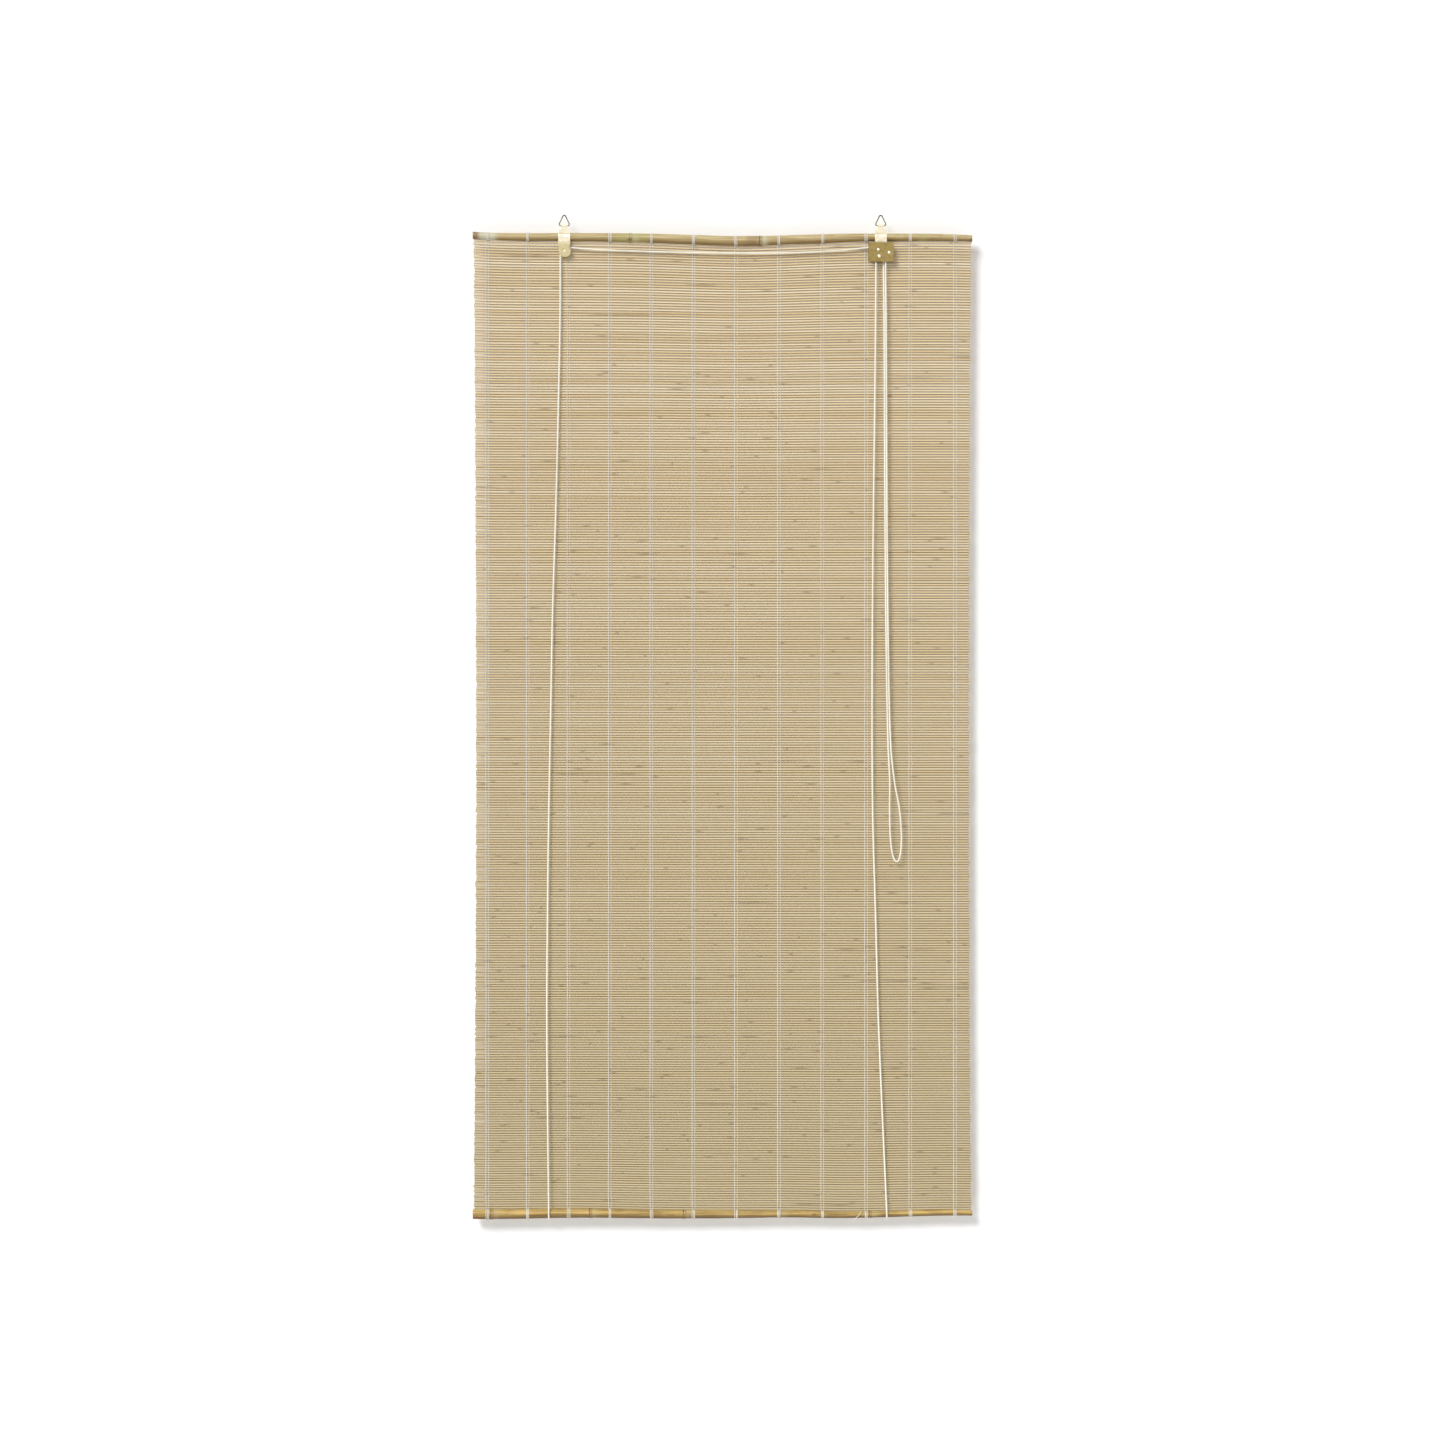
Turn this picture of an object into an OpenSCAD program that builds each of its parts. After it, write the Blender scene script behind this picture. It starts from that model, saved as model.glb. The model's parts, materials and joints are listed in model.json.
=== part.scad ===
// Bamboo roll up blind: a mat of thin bamboo sticks bound by warp threads between two bamboo
// rails, raised by one continuous cord that runs over a pulley bracket and a cord lock.
// The origin is on the hang line, midway between the two hanging rings. -Y is the room side.

/* [Rails] */
// Length of both bamboo rails
rail_length = 800; // [740:1:900]
// Depth of the top rail's centre line below the hang line
rail_drop = 34; // [32:0.5:40]
// Natural downward bow of the top rail near its middle
rail_bow = 6; // [0:0.5:10]
// Diameter of the top rail at its left end
top_rail_d_left = 12; // [11:0.1:14]
// Diameter of the top rail at its thickest
top_rail_d_middle = 16.5; // [14:0.1:18]
// Diameter of the top rail at its right end
top_rail_d_right = 11; // [9:0.1:14]
// Diameter of the bottom rail at its left end
bottom_rail_d_left = 16.5; // [13:0.1:18]
// Diameter of the bottom rail at its right end
bottom_rail_d_right = 9; // [8:0.1:13]
// How far a growth knuckle stands proud of the culm
knuckle_h = 0.7; // [0.3:0.1:1.2]
// Wall of the culm at its open ends
culm_wall = 2.2; // [1.6:0.1:3]
// Depth of the open culm ends
culm_end_depth = 9; // [4:1:16]

/* [Mat] */
// Hang line to the bottom rail's centre line
blind_drop = 1598; // [1560:1:1640]
// Distance from one stick to the next
stick_pitch = 4; // [3.6:0.1:5]
// Height of one stick
stick_w = 3; // [2.4:0.1:3.3]
// Thickness of one stick, front to back
stick_depth = 2; // [1.6:0.1:2.4]
// Thickness left between two sticks
web_depth = 0.8; // [0.4:0.1:1.2]
// How far the mat ends short of the rails at each side
mat_inset = 3; // [0:0.5:8]
// Clear space between a rail and the nearest stick
mat_gap = 1.6; // [1.4:0.1:3]
// Rows of open gaps in the mat
gap_rows = 9; // [2:1:9]
// Height of one open gap
gap_h = 0.8; // [0.4:0.1:1]

/* [Threads] */
// Columns of warp thread
thread_columns = 12; // [8:1:12]
// Left end of the rails to the first column
thread_margin_left = 23.5; // [18:0.5:40]
// Last column to the right end of the rails
thread_margin_right = 27.5; // [18:0.5:40]
// How much the spacing of the columns grows to the right
thread_spread = 0.055; // [0:0.005:0.1]
// Distance between the two strands of a column
strand_gap = 4.4; // [3:0.1:6]
// Thread thickness
thread_d = 0.8; // [0.5:0.1:1]

/* [Brackets] */
// Distance between the two brackets
bracket_spacing = 507; // [460:1:540]
// Sheet metal thickness
sheet_t = 0.8; // [0.6:0.1:1]
// Width of the strap round the rail
strap_w = 19; // [17.5:0.5:21]
// Width of the hanger neck above the strap
neck_w = 10; // [8:0.5:10.5]
// Height of the strap's folded shoulder below the hang line
shoulder_drop = 22; // [20:0.5:24]
// Width of the lock's face plate
lock_plate_w = 40; // [37:0.5:44]
// Depth of the lock plate's upper edge below the top rail's centre line
lock_plate_top = 9; // [8:0.5:11]
// Height of the lock's face plate
lock_plate_h = 31; // [29:0.5:36]
// Corner radius of the lock's face plate
lock_plate_r = 3; // [1:0.5:5]
// Depth of the anchor tab behind the strap
anchor_tab_l = 8; // [7:0.5:12]

/* [Hanging rings] */
// Wire diameter
wire_d = 1.8; // [1.4:0.1:2.2]
// Width of a ring at its base, wire centre to wire centre
ring_w = 16; // [15:0.5:20]
// Hang line to the wire in the bracket's eye
ring_h = 15.5; // [14:0.5:17]
// Bend radius of the wire at the ring's corners
ring_bend_r = 2.5; // [2:0.1:3]

/* [Pulleys and cord] */
// Cord diameter
cord_d = 2.8; // [2.4:0.1:3]
// Distance of the right lift cord's drop from the middle of its bracket
right_drop_inset = 8; // [7:0.5:9]
// How far outside its bracket the left lift cord passes under the bottom rail
left_bight_outset = 24.5; // [18:0.5:30]
// How far outside its bracket the right lift cord passes under the bottom rail
right_bight_outset = 9.5; // [4:0.5:14]
// Radius of the cord's centre line on the left pulley
pulley_r = 7.2; // [6.5:0.1:7.6]
// Radius of the cord's centre line on the lock pulley
lock_pulley_r = 6; // [5.5:0.1:6.4]
// Width of the left pulley
pulley_w = 5.4; // [5:0.1:6.5]
// Width of the lock pulley, which has two grooves
lock_pulley_w = 9; // [8.6:0.1:10]
// Rivet shank diameter
rivet_d = 3; // [2.4:0.1:3.4]
// Rivet head diameter
rivet_head_d = 5; // [4.4:0.1:6]
// Guide post diameter
post_d = 3.6; // [3:0.1:4]
// Reach of the locking cam's nose from its pivot
cam_reach = 8; // [7:0.1:8.2]
// Radius of the locking cam's hub
cam_hub_r = 4.2; // [3.6:0.1:4.6]
// Tack head diameter
tack_head_d = 3.4; // [2.8:0.1:4]
// Tack shank diameter
tack_d = 1.4; // [1:0.1:1.8]
// Tack shank length
tack_l = 6; // [4:0.5:7]

/* [Clearances] */
// Radial running clearance of a wheel or cam on its rivet
running_gap = 0.06; // [0.03:0.01:0.1]
// Radial clearance of a piece that is held tight
seat_gap = 0.03; // [0.02:0.01:0.05]
// Space between a cord and what it runs over
cord_gap = 0.3; // [0.2:0.05:0.5]
// Space at each side of a wheel between its plates
side_gap = 0.3; // [0.2:0.05:0.6]
// Radial space between the strap and the rail
strap_gap = 0.25; // [0.15:0.05:0.4]
// Radial space between a thread's turns and the rail
tie_gap = 0.15; // [0.1:0.05:0.3]

/* [Hidden] */
$fn = 48;

// Colours
bamboo_tan = [0.71, 0.64, 0.47];
bamboo_honey = [0.73, 0.62, 0.37];
stick_straw = [0.77, 0.70, 0.56];
thread_cream = [0.86, 0.84, 0.76];
cord_white = [0.93, 0.91, 0.85];
brass_pale = [0.80, 0.76, 0.59];
brass_olive = [0.63, 0.55, 0.31];
rivet_bright = [0.86, 0.83, 0.72];

// Rail line: a bow off the middle and a small turn at each tip
rail_half = rail_length / 2;
bow_centre = 30;
bow_spread = 130;
left_tip_rise = 3;
right_tip_dip = 2;
tip_length = 40;
rail_sides = 24;
station_step = 30;
// Distances of the knuckles from the left end of each rail
top_knuckles = [23, 252, 460];
bottom_knuckles = [30, 188, 338, 490, 636];
knuckle_offsets = [-7, -4, -2, 0, 2, 4, 7];
knuckle_spread = 2.6;

// Brackets
bracket_x = bracket_spacing / 2;
cord_r = cord_d / 2;
wire_r = wire_d / 2;
rivet_r = rivet_d / 2;
post_r = post_d / 2;
groove_r = cord_r + cord_gap;
plate_behind = stick_depth / 2 + thread_d;
rear_leaf_y = -plate_behind - sheet_t;
jog_drop = 8.5;
wire_lap = 0.3;
eye_r = wire_r + running_gap + sheet_t;
anchor_hole_r = cord_r + cord_gap;
anchor_y_in = 4;

// Places of the pivots, from the bracket's centre line and the top rail's centre line
pulley_offset = [1.2, -23.3];
lock_pulley_offset = [-4.1, -20.8];
post_offset = [-2.8, -31.2];
cam_offset = [12.9, -25.3];
tack_offsets = [[-5, 2.4], [4.6, -1.2]];

// Lock cam
cam_from = 130;
cam_to = 200;
cam_teeth = 7;
cam_tooth_h = 0.6;

// Cord routes: hand-chosen points, with X from the middle of the bracket that the cord hangs from
cord_sides = 8;
left_front_route = [
    [-6.5, -6, -170], [-9.5, -6, -320], [-13.5, -6, -480], [-18.5, -6.5, -640],
    [-21.5, -6.5, -800], [-24.5, -7, -960], [-26.5, -7.5, -1120], [-27.5, -8, -1300]
];
right_front_route = [
    [-8.5, -9, -170], [-10, -8.5, -320], [-12, -8, -480], [-13.5, -8, -640], [-14, -7.5, -800],
    [-13, -7.5, -960], [-8.5, -7, -1120], [-3.5, -7, -1300]
];
cross_route = [[-215, -5.5, -53.5], [-120, -5.5, -57.5], [20, -5.5, -60], [110, -5.5, -59.5],
    [190, -5.5, -55.5]];
pull_route = [
    [4.4, -6.5, -90], [4.8, -10.3, -130], [5.3, -10.3, -200], [6.1, -10.3, -400],
    [7.5, -10.3, -600], [9.5, -10.3, -760], [11.5, -10.3, -850], [14, -10.3, -905],
    [13.8, -10.3, -950], [14.7, -10.3, -990], [17.1, -10.3, -1015], [20.7, -10.3, -1029],
    [25.2, -10.3, -1034], [29.3, -10.3, -1029], [31.9, -10.3, -1015], [32.7, -10.3, -990],
    [29.5, -10.3, -950], [21.5, -10.3, -905], [15.9, -10.3, -850], [12.9, -10.3, -760],
    [10.7, -10.3, -600], [9.3, -10.3, -400], [8.5, -10.3, -200], [8, -10.3, -130], [7.5, -9.9, -90]
];
knot_r = 3.2;

function bell(x, centre, spread) = exp(-pow((x - centre) / spread, 2));
function unit(v) = v / norm(v);
function mix(a, b, t) = a + (b - a) * t;
function from_bracket(side, route) = [for (p = route) [side * bracket_x + p[0], p[1], p[2]]];

function rail_axis_z(x) = -rail_drop - rail_bow * bell(x, bow_centre, bow_spread)
    + left_tip_rise * exp(-(x + rail_half) / tip_length)
    - right_tip_dip * exp(-(rail_half - x) / tip_length);
function top_rail_r(x) = lookup(x, [
    [-rail_half, top_rail_d_left / 2],
    [bow_centre, top_rail_d_middle / 2],
    [rail_half, top_rail_d_right / 2]
]);
function bottom_rail_r(x) = lookup(x, [
    [-rail_half, bottom_rail_d_left / 2],
    [rail_half, bottom_rail_d_right / 2]
]);
function swelling(x, knuckles, i = 0) = i == len(knuckles) ? 0
    : knuckle_h * bell(x + rail_half, knuckles[i], knuckle_spread) + swelling(x, knuckles, i + 1);
function column_share(t) = t * (1 - thread_spread) + thread_spread * t * t;
function column_x(i) = mix(-rail_half + thread_margin_left, rail_half - thread_margin_right,
    column_share(i / (thread_columns - 1)));
function foot_z(side) = -blind_drop + bottom_rail_r(side * rail_half) + mat_gap;
function strand_xs() = [for (i = [0 : thread_columns - 1]) for (side = [-1, 1])
    column_x(i) + side * strand_gap / 2];

// Places that follow from the rail line
left_axis_z = rail_axis_z(-bracket_x);
right_axis_z = rail_axis_z(bracket_x);
left_rail_r = top_rail_r(-bracket_x);
right_rail_r = top_rail_r(bracket_x);
pulley_at = [-bracket_x + pulley_offset[0], left_axis_z + pulley_offset[1]];
lock_pulley_at = [bracket_x + lock_pulley_offset[0], right_axis_z + lock_pulley_offset[1]];
post_at = [bracket_x + post_offset[0], right_axis_z + post_offset[1]];
cam_at = [bracket_x + cam_offset[0], right_axis_z + cam_offset[1]];
left_leaf_y = rear_leaf_y - pulley_w - 2 * side_gap;
lock_leaf_y = rear_leaf_y - lock_pulley_w - 2 * side_gap;
pulley_y = rear_leaf_y - side_gap - pulley_w / 2;
lock_pulley_y = rear_leaf_y - side_gap - lock_pulley_w / 2;
groove_step = lock_pulley_w / 4;
lock_exit_z = right_axis_z - lock_plate_top - lock_plate_h;
mat_top_z = rail_axis_z(-rail_half);
mat_bottom_z = -blind_drop + bottom_rail_d_right / 2 + mat_gap;
drop_end_z = -blind_drop + cord_gap;
left_bight_x = -bracket_x - left_bight_outset;
right_bight_x = bracket_x + right_bight_outset;
left_line = from_bracket(-1, left_front_route);
right_line = from_bracket(1, right_front_route);
pull_line = from_bracket(1, pull_route);

// Solids swept along a line of points, one ring of points at each
function ring_points(at, along, r, sides) = let (u = unit(cross(along, [0, 1, 0])), v = cross(along, u))
    [for (j = [0 : sides - 1]) at + r * (cos(360 * j / sides) * u + sin(360 * j / sides) * v)];
function directions(points) = [for (i = [0 : len(points) - 1])
    unit(points[min(i + 1, len(points) - 1)] - points[max(i - 1, 0)])];

module swept(points, along, radii, sides) {
    last = len(points) - 1;
    corners = [for (i = [0 : last]) each ring_points(points[i], along[i], radii[i], sides)];
    walls = [for (i = [0 : last - 1]) for (j = [0 : sides - 1])
        let (k = (j + 1) % sides) [i * sides + j, (i + 1) * sides + j, (i + 1) * sides + k, i * sides + k]];
    near_cap = [for (j = [0 : sides - 1]) j];
    far_cap = [for (j = [sides - 1 : -1 : 0]) last * sides + j];
    polyhedron(points = corners, faces = concat([near_cap], walls, [far_cap]));
}

module cord(points) {
    swept(points, directions(points), [for (p = points) cord_r], cord_sides);
}

// Shapes that repeat
module along_y(at, y) {
    translate([at[0], y, at[1]]) rotate([90, 0, 0]) children();
}

module along_x(at, length) {
    translate([at[0] - length / 2, at[1], at[2]]) rotate([0, 90, 0]) children();
}

module bead_ring(x, z, r, bead_r) {
    translate([x, 0, z]) rotate([0, 90, 0]) rotate_extrude() translate([r, 0]) circle(bead_r);
}

module plate_outline(w, h, r) {
    translate([-w / 2 + r, -h]) square([w - 2 * r, h]);
    translate([-w / 2, -h + r]) square([w, h - 2 * r]);
    for (x = [-w / 2 + r, w / 2 - r]) for (z = [-h + r, -r]) translate([x, z]) circle(r);
}

// Bamboo rails
function rail_stops(knuckles) = concat([-rail_half],
    [for (k = knuckles) for (o = knuckle_offsets) k + o - rail_half], [rail_half]);
function stations(stops) = concat([for (i = [0 : len(stops) - 2])
    let (n = ceil((stops[i + 1] - stops[i]) / station_step))
    for (s = [0 : n - 1]) mix(stops[i], stops[i + 1], s / n)], [stops[len(stops) - 1]]);

module culm(line, radii) {
    last = len(line) - 1;
    near_r = radii[0] - culm_wall;
    far_r = radii[last] - culm_wall;
    inward = [culm_end_depth, 0, 0];
    points = concat([line[0] + inward, line[0]], line, [line[last], line[last] - inward]);
    all_radii = concat([near_r, near_r], radii, [far_r, far_r]);
    swept(points, [for (p = points) [1, 0, 0]], all_radii, rail_sides);
}

module top_rail() {
    xs = stations(rail_stops(top_knuckles));
    color(bamboo_tan) difference() {
        culm([for (x = xs) [x, 0, rail_axis_z(x)]],
            [for (x = xs) top_rail_r(x) + swelling(x, top_knuckles)]);
        tack_holes(-bracket_x, left_axis_z, left_rail_r);
        tack_holes(bracket_x, right_axis_z, right_rail_r);
    }
}

module bottom_rail() {
    xs = stations(rail_stops(bottom_knuckles));
    color(bamboo_honey) culm([for (x = xs) [x, 0, -blind_drop]],
        [for (x = xs) bottom_rail_r(x) + swelling(x, bottom_knuckles)]);
}

// Mat of sticks: one ridged wall, trimmed to the line of the top rail, with open gaps
module slat_mat() {
    count = floor((mat_top_z - mat_bottom_z) / stick_pitch);
    width = rail_length - 2 * mat_inset;
    ridge = stick_depth / 2;
    web = web_depth / 2;
    front = [for (k = [0 : count - 1]) let (z = mat_bottom_z + k * stick_pitch)
        each [[-ridge, z], [-ridge, z + stick_w], [-web, z + (stick_w + stick_pitch) / 2]]];
    rear = [for (p = front) [-p[0], p[1]]];
    outline = concat(front, [for (i = [len(rear) - 1 : -1 : 0]) rear[i]]);
    trim_xs = stations([-rail_half, rail_half]);
    trim = [for (x = trim_xs) [x, rail_axis_z(x) - top_rail_r(x) - mat_gap]];
    row_step = floor(count / (gap_rows + 1));
    groove_mid = (stick_w + stick_pitch) / 2;
    strand_room = strand_gap / 2 + 2 * thread_d;
    color(stick_straw) difference() {
        translate([-width / 2, 0, 0]) rotate([90, 0, 90]) linear_extrude(width) polygon(outline);
        translate([0, stick_depth, 0]) rotate([90, 0, 0]) linear_extrude(2 * stick_depth)
            polygon(concat([[-rail_half, 0]], trim, [[rail_half, 0]]));
        translate([0, stick_depth, 0]) rotate([90, 0, 0]) linear_extrude(2 * stick_depth)
            polygon([[-rail_half, -blind_drop], [-rail_half, foot_z(-1)],
                [rail_half, foot_z(1)], [rail_half, -blind_drop]]);
        for (row = [1 : gap_rows]) for (i = [0 : thread_columns - 2])
            translate([column_x(i) + strand_room, -stick_depth,
                mat_bottom_z + row * row_step * stick_pitch + groove_mid - gap_h / 2])
                cube([column_x(i + 1) - column_x(i) - 2 * strand_room, 2 * stick_depth, gap_h]);
    }
}

// Warp threads on both faces of the mat, and their turns round the rails
module warp_threads() {
    color(thread_cream) for (x = strand_xs()) for (side = [-1, 1]) {
        top = rail_axis_z(x) - top_rail_r(x) - mat_gap;
        bottom = -blind_drop + bottom_rail_r(x) + mat_gap;
        inner = side * stick_depth / 2;
        translate([x - thread_d / 2, min(inner, inner + side * thread_d), bottom])
            cube([thread_d, thread_d, top - bottom]);
    }
}

module top_ties() {
    thread_r = thread_d / 2;
    strap_room = strap_w / 2 + thread_d;
    color(thread_cream) for (x = strand_xs()) if (abs(abs(x) - bracket_x) > strap_room)
        bead_ring(x, rail_axis_z(x), top_rail_r(x) + swelling(x, top_knuckles) + thread_r + tie_gap, thread_r);
}

module bottom_ties() {
    thread_r = thread_d / 2;
    tie_knot_r = 1.2;
    color(thread_cream) for (x = strand_xs()) {
        r = bottom_rail_r(x) + swelling(x, bottom_knuckles) + tie_gap;
        bead_ring(x, -blind_drop, r + thread_r, thread_r);
    }
    color(thread_cream) for (i = [0 : thread_columns - 1]) {
        r = bottom_rail_r(column_x(i)) + swelling(column_x(i), bottom_knuckles) + tie_gap;
        translate([column_x(i), 0, -blind_drop - r - tie_knot_r]) sphere(tie_knot_r);
    }
}

// Brackets: one strip of sheet folded round the rail, with a front and a rear leaf for a wheel
module strip_section(r, leaf_y, leaf_bottom) {
    inner = r + strap_gap;
    outer = inner + sheet_t;
    jog_end = -jog_drop;
    jog_start = jog_end - inner - leaf_y;
    difference() {
        union() {
            circle(outer);
            translate([-sheet_t, 0]) square([2 * sheet_t, rail_drop]);
            polygon([[-outer, 0], [-inner, 0], [-inner, jog_start], [leaf_y, jog_end], [leaf_y, leaf_bottom],
                [leaf_y - sheet_t, leaf_bottom], [leaf_y - sheet_t, jog_end], [-outer, jog_start]]);
            translate([rear_leaf_y, leaf_bottom]) square([sheet_t, -leaf_bottom]);
        }
        circle(inner);
    }
}

module strip(x, axis_z, r, leaf_y, leaf_bottom) {
    translate([x - lock_plate_w, 0, axis_z]) rotate([90, 0, 90])
        linear_extrude(2 * lock_plate_w) strip_section(r, leaf_y, leaf_bottom);
}

module strip_face(x, z) {
    deep = 100;
    translate([x, deep, z]) rotate([90, 0, 0]) linear_extrude(2 * deep) children();
}

module strap_outline(axis_z, below) {
    translate([-strap_w / 2, -below]) square([strap_w, below - axis_z - shoulder_drop]);
    translate([-neck_w / 2, -below]) square([neck_w, below - axis_z - ring_h]);
}

module eye(x) {
    along_x([x, 0, -ring_h], neck_w) cylinder(r = eye_r, h = neck_w);
}

module eye_bore(x) {
    along_x([x, 0, -ring_h], 2 * neck_w) cylinder(r = wire_r + running_gap, h = 2 * neck_w);
}

module anchor_tab(x, axis_z, r) {
    tab_w = 10;
    inner = r + strap_gap + sheet_t / 2;
    outer = r + strap_gap + sheet_t;
    difference() {
        translate([x - tab_w / 2, inner, axis_z - sheet_t / 2]) cube([tab_w, outer - inner + anchor_tab_l, sheet_t]);
        translate([x, outer + anchor_y_in, axis_z - sheet_t]) cylinder(r = anchor_hole_r, h = 2 * sheet_t);
    }
}

module rivet_hole(at, r) {
    long = 60;
    along_y(at, long / 2) cylinder(r = r + seat_gap, h = long);
}

module tack_holes(x, axis_z, r) {
    for (o = tack_offsets) along_y([x + o[0], axis_z + o[1]], -r + tack_l)
        cylinder(r = tack_d / 2 + seat_gap, h = tack_l + r);
}

module pulley_bracket() {
    leaf_bottom = pulley_offset[1] - strap_w / 2;
    color(brass_pale) difference() {
        union() {
            intersection() {
                strip(-bracket_x, left_axis_z, left_rail_r, left_leaf_y, leaf_bottom);
                strip_face(-bracket_x, left_axis_z) {
                    strap_outline(left_axis_z, -pulley_offset[1]);
                    translate(pulley_offset) circle(strap_w / 2);
                }
            }
            eye(-bracket_x);
            anchor_tab(-bracket_x, left_axis_z, left_rail_r);
        }
        eye_bore(-bracket_x);
        rivet_hole(pulley_at, rivet_r);
        tack_holes(-bracket_x, left_axis_z, left_rail_r);
    }
}

module lock_bracket() {
    leaf_bottom = -lock_plate_top - lock_plate_h;
    color(brass_olive) difference() {
        union() {
            intersection() {
                strip(bracket_x, right_axis_z, right_rail_r, lock_leaf_y, leaf_bottom);
                strip_face(bracket_x, right_axis_z) {
                    strap_outline(right_axis_z, lock_plate_top + lock_plate_r);
                    translate([0, -lock_plate_top]) plate_outline(lock_plate_w, lock_plate_h, lock_plate_r);
                }
            }
            eye(bracket_x);
            anchor_tab(bracket_x, right_axis_z, right_rail_r);
        }
        eye_bore(bracket_x);
        rivet_hole(lock_pulley_at, rivet_r);
        rivet_hole(post_at, post_r);
        rivet_hole(cam_at, rivet_r);
        tack_holes(bracket_x, right_axis_z, right_rail_r);
    }
}

// Hanging rings: a closed wire triangle with round corners
module wire_bend(at, from, to) {
    translate([at[0], 0, at[1]]) rotate([90, 0, 0]) rotate(from)
        rotate_extrude(angle = to - from) translate([ring_bend_r, 0]) circle(wire_r);
}

module wire_run(a, b) {
    lean = atan2(b[0] - a[0], b[1] - a[1]);
    translate([a[0], 0, a[1]]) rotate([0, lean, 0]) translate([0, 0, -wire_lap])
        cylinder(r = wire_r - seat_gap, h = norm(b - a) + 2 * wire_lap);
}

module hanging_ring(x) {
    top = [0, wire_r - ring_bend_r];
    foot_x = ring_w / 2 - ring_bend_r;
    foot_z = -ring_h + ring_bend_r;
    slope = atan2(top[1] - foot_z, foot_x);
    out = [sin(slope), cos(slope)] * ring_bend_r;
    color(rivet_bright) translate([x, 0, 0]) {
        wire_bend(top, 90 - slope, 90 + slope);
        wire_bend([foot_x, foot_z], -90, 90 - slope);
        wire_bend([-foot_x, foot_z], 90 + slope, 270);
        wire_run([-foot_x, -ring_h], [foot_x, -ring_h]);
        wire_run([foot_x, foot_z] + out, top + out);
        wire_run([-foot_x - out[0], foot_z + out[1]], [-out[0], top[1] + out[1]]);
    }
}

module left_hanging_ring() {
    hanging_ring(-bracket_x);
}

module right_hanging_ring() {
    hanging_ring(bracket_x);
}

// Pulleys, rivets, guide post and locking cam
module grooved_wheel(at, y, width, line_r, groove_ys) {
    rim = line_r + groove_r / 4;
    along_y(at, y + width / 2) difference() {
        cylinder(r = rim, h = width);
        translate([0, 0, -width]) cylinder(r = rivet_r + running_gap, h = 3 * width);
        for (g = groove_ys) translate([0, 0, width / 2 + g])
            rotate_extrude() translate([line_r, 0]) circle(groove_r);
    }
}

module left_pulley() {
    color(rivet_bright) grooved_wheel(pulley_at, pulley_y, pulley_w, pulley_r, [0]);
}

module lock_pulley() {
    color(rivet_bright) grooved_wheel(lock_pulley_at, lock_pulley_y, lock_pulley_w, lock_pulley_r,
        [-groove_step, groove_step]);
}

module rivet(at, leaf_y, r) {
    front = leaf_y - sheet_t;
    head_r = r + (rivet_head_d - rivet_d) / 2;
    head_h = 1.2;
    dome_r = 1.2 * head_r;
    along_y(at, rear_leaf_y + sheet_t) cylinder(r = r, h = rear_leaf_y + sheet_t - front);
    along_y(at, front) intersection() {
        cylinder(r = head_r, h = head_h);
        translate([0, 0, head_h - dome_r]) sphere(dome_r);
    }
}

module left_pulley_rivet() {
    color(rivet_bright) rivet(pulley_at, left_leaf_y, rivet_r);
}

module lock_pulley_rivet() {
    color(rivet_bright) rivet(lock_pulley_at, lock_leaf_y, rivet_r);
}

module lock_guide_post() {
    color(rivet_bright) rivet(post_at, lock_leaf_y, post_r);
}

module lock_cam_rivet() {
    color(rivet_bright) rivet(cam_at, lock_leaf_y, rivet_r);
}

module lock_cam() {
    step = (cam_to - cam_from) / (2 * cam_teeth);
    nose = [for (i = [0 : 2 * cam_teeth]) let (a = cam_from + i * step,
        r = mix(cam_hub_r, cam_reach, i / (2 * cam_teeth)) - cam_tooth_h * (i % 2)) [r * cos(a), r * sin(a)]];
    color(brass_olive) along_y(cam_at, lock_pulley_y + lock_pulley_w / 2) difference() {
        linear_extrude(lock_pulley_w) union() {
            circle(cam_hub_r);
            polygon(concat([[0, 0]], nose));
        }
        translate([0, 0, -lock_pulley_w]) cylinder(r = rivet_r + running_gap, h = 3 * lock_pulley_w);
    }
}

module tacks(x, axis_z, r) {
    seat_y = -r - strap_gap - sheet_t;
    head_h = 0.8;
    for (o = tack_offsets) {
        along_y([x + o[0], axis_z + o[1]], seat_y + tack_l) cylinder(r = tack_d / 2, h = tack_l);
        along_y([x + o[0], axis_z + o[1]], seat_y) cylinder(r1 = tack_head_d / 2, r2 = tack_d / 2, h = head_h);
    }
}

module left_tacks() {
    color(rivet_bright) tacks(-bracket_x, left_axis_z, left_rail_r);
}

module right_tacks() {
    color(rivet_bright) tacks(bracket_x, right_axis_z, right_rail_r);
}

// Cord: the drops in front of and behind the mat, the turns under the bottom rail and over the wheels
function wheel_arc(at, y, r, from, to, steps) = [for (i = [0 : steps])
    let (a = mix(from, to, i / steps)) [at[0] + r * cos(a), y, at[1] + r * sin(a)]];
function bight_r(x) = bottom_rail_r(x) + cord_r + cord_gap;
function anchor_y(r) = r + strap_gap + sheet_t + anchor_y_in;

module left_lift_cord() {
    color(cord_white) {
        cord(concat([[pulley_at[0] - pulley_r, pulley_y, pulley_at[1]]], left_line,
            [[left_bight_x, -bight_r(left_bight_x), drop_end_z]]));
        cord([[-bracket_x, anchor_y(left_rail_r), left_axis_z + sheet_t / 2],
            [left_bight_x, bight_r(left_bight_x), drop_end_z]]);
    }
}

module right_lift_cord() {
    color(cord_white) {
        cord(concat([[bracket_x - right_drop_inset, lock_pulley_y - groove_step, lock_exit_z]], right_line,
            [[right_bight_x, -bight_r(right_bight_x), drop_end_z]]));
        cord([[bracket_x, anchor_y(right_rail_r), right_axis_z + sheet_t / 2],
            [right_bight_x, bight_r(right_bight_x), drop_end_z]]);
    }
}

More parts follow.
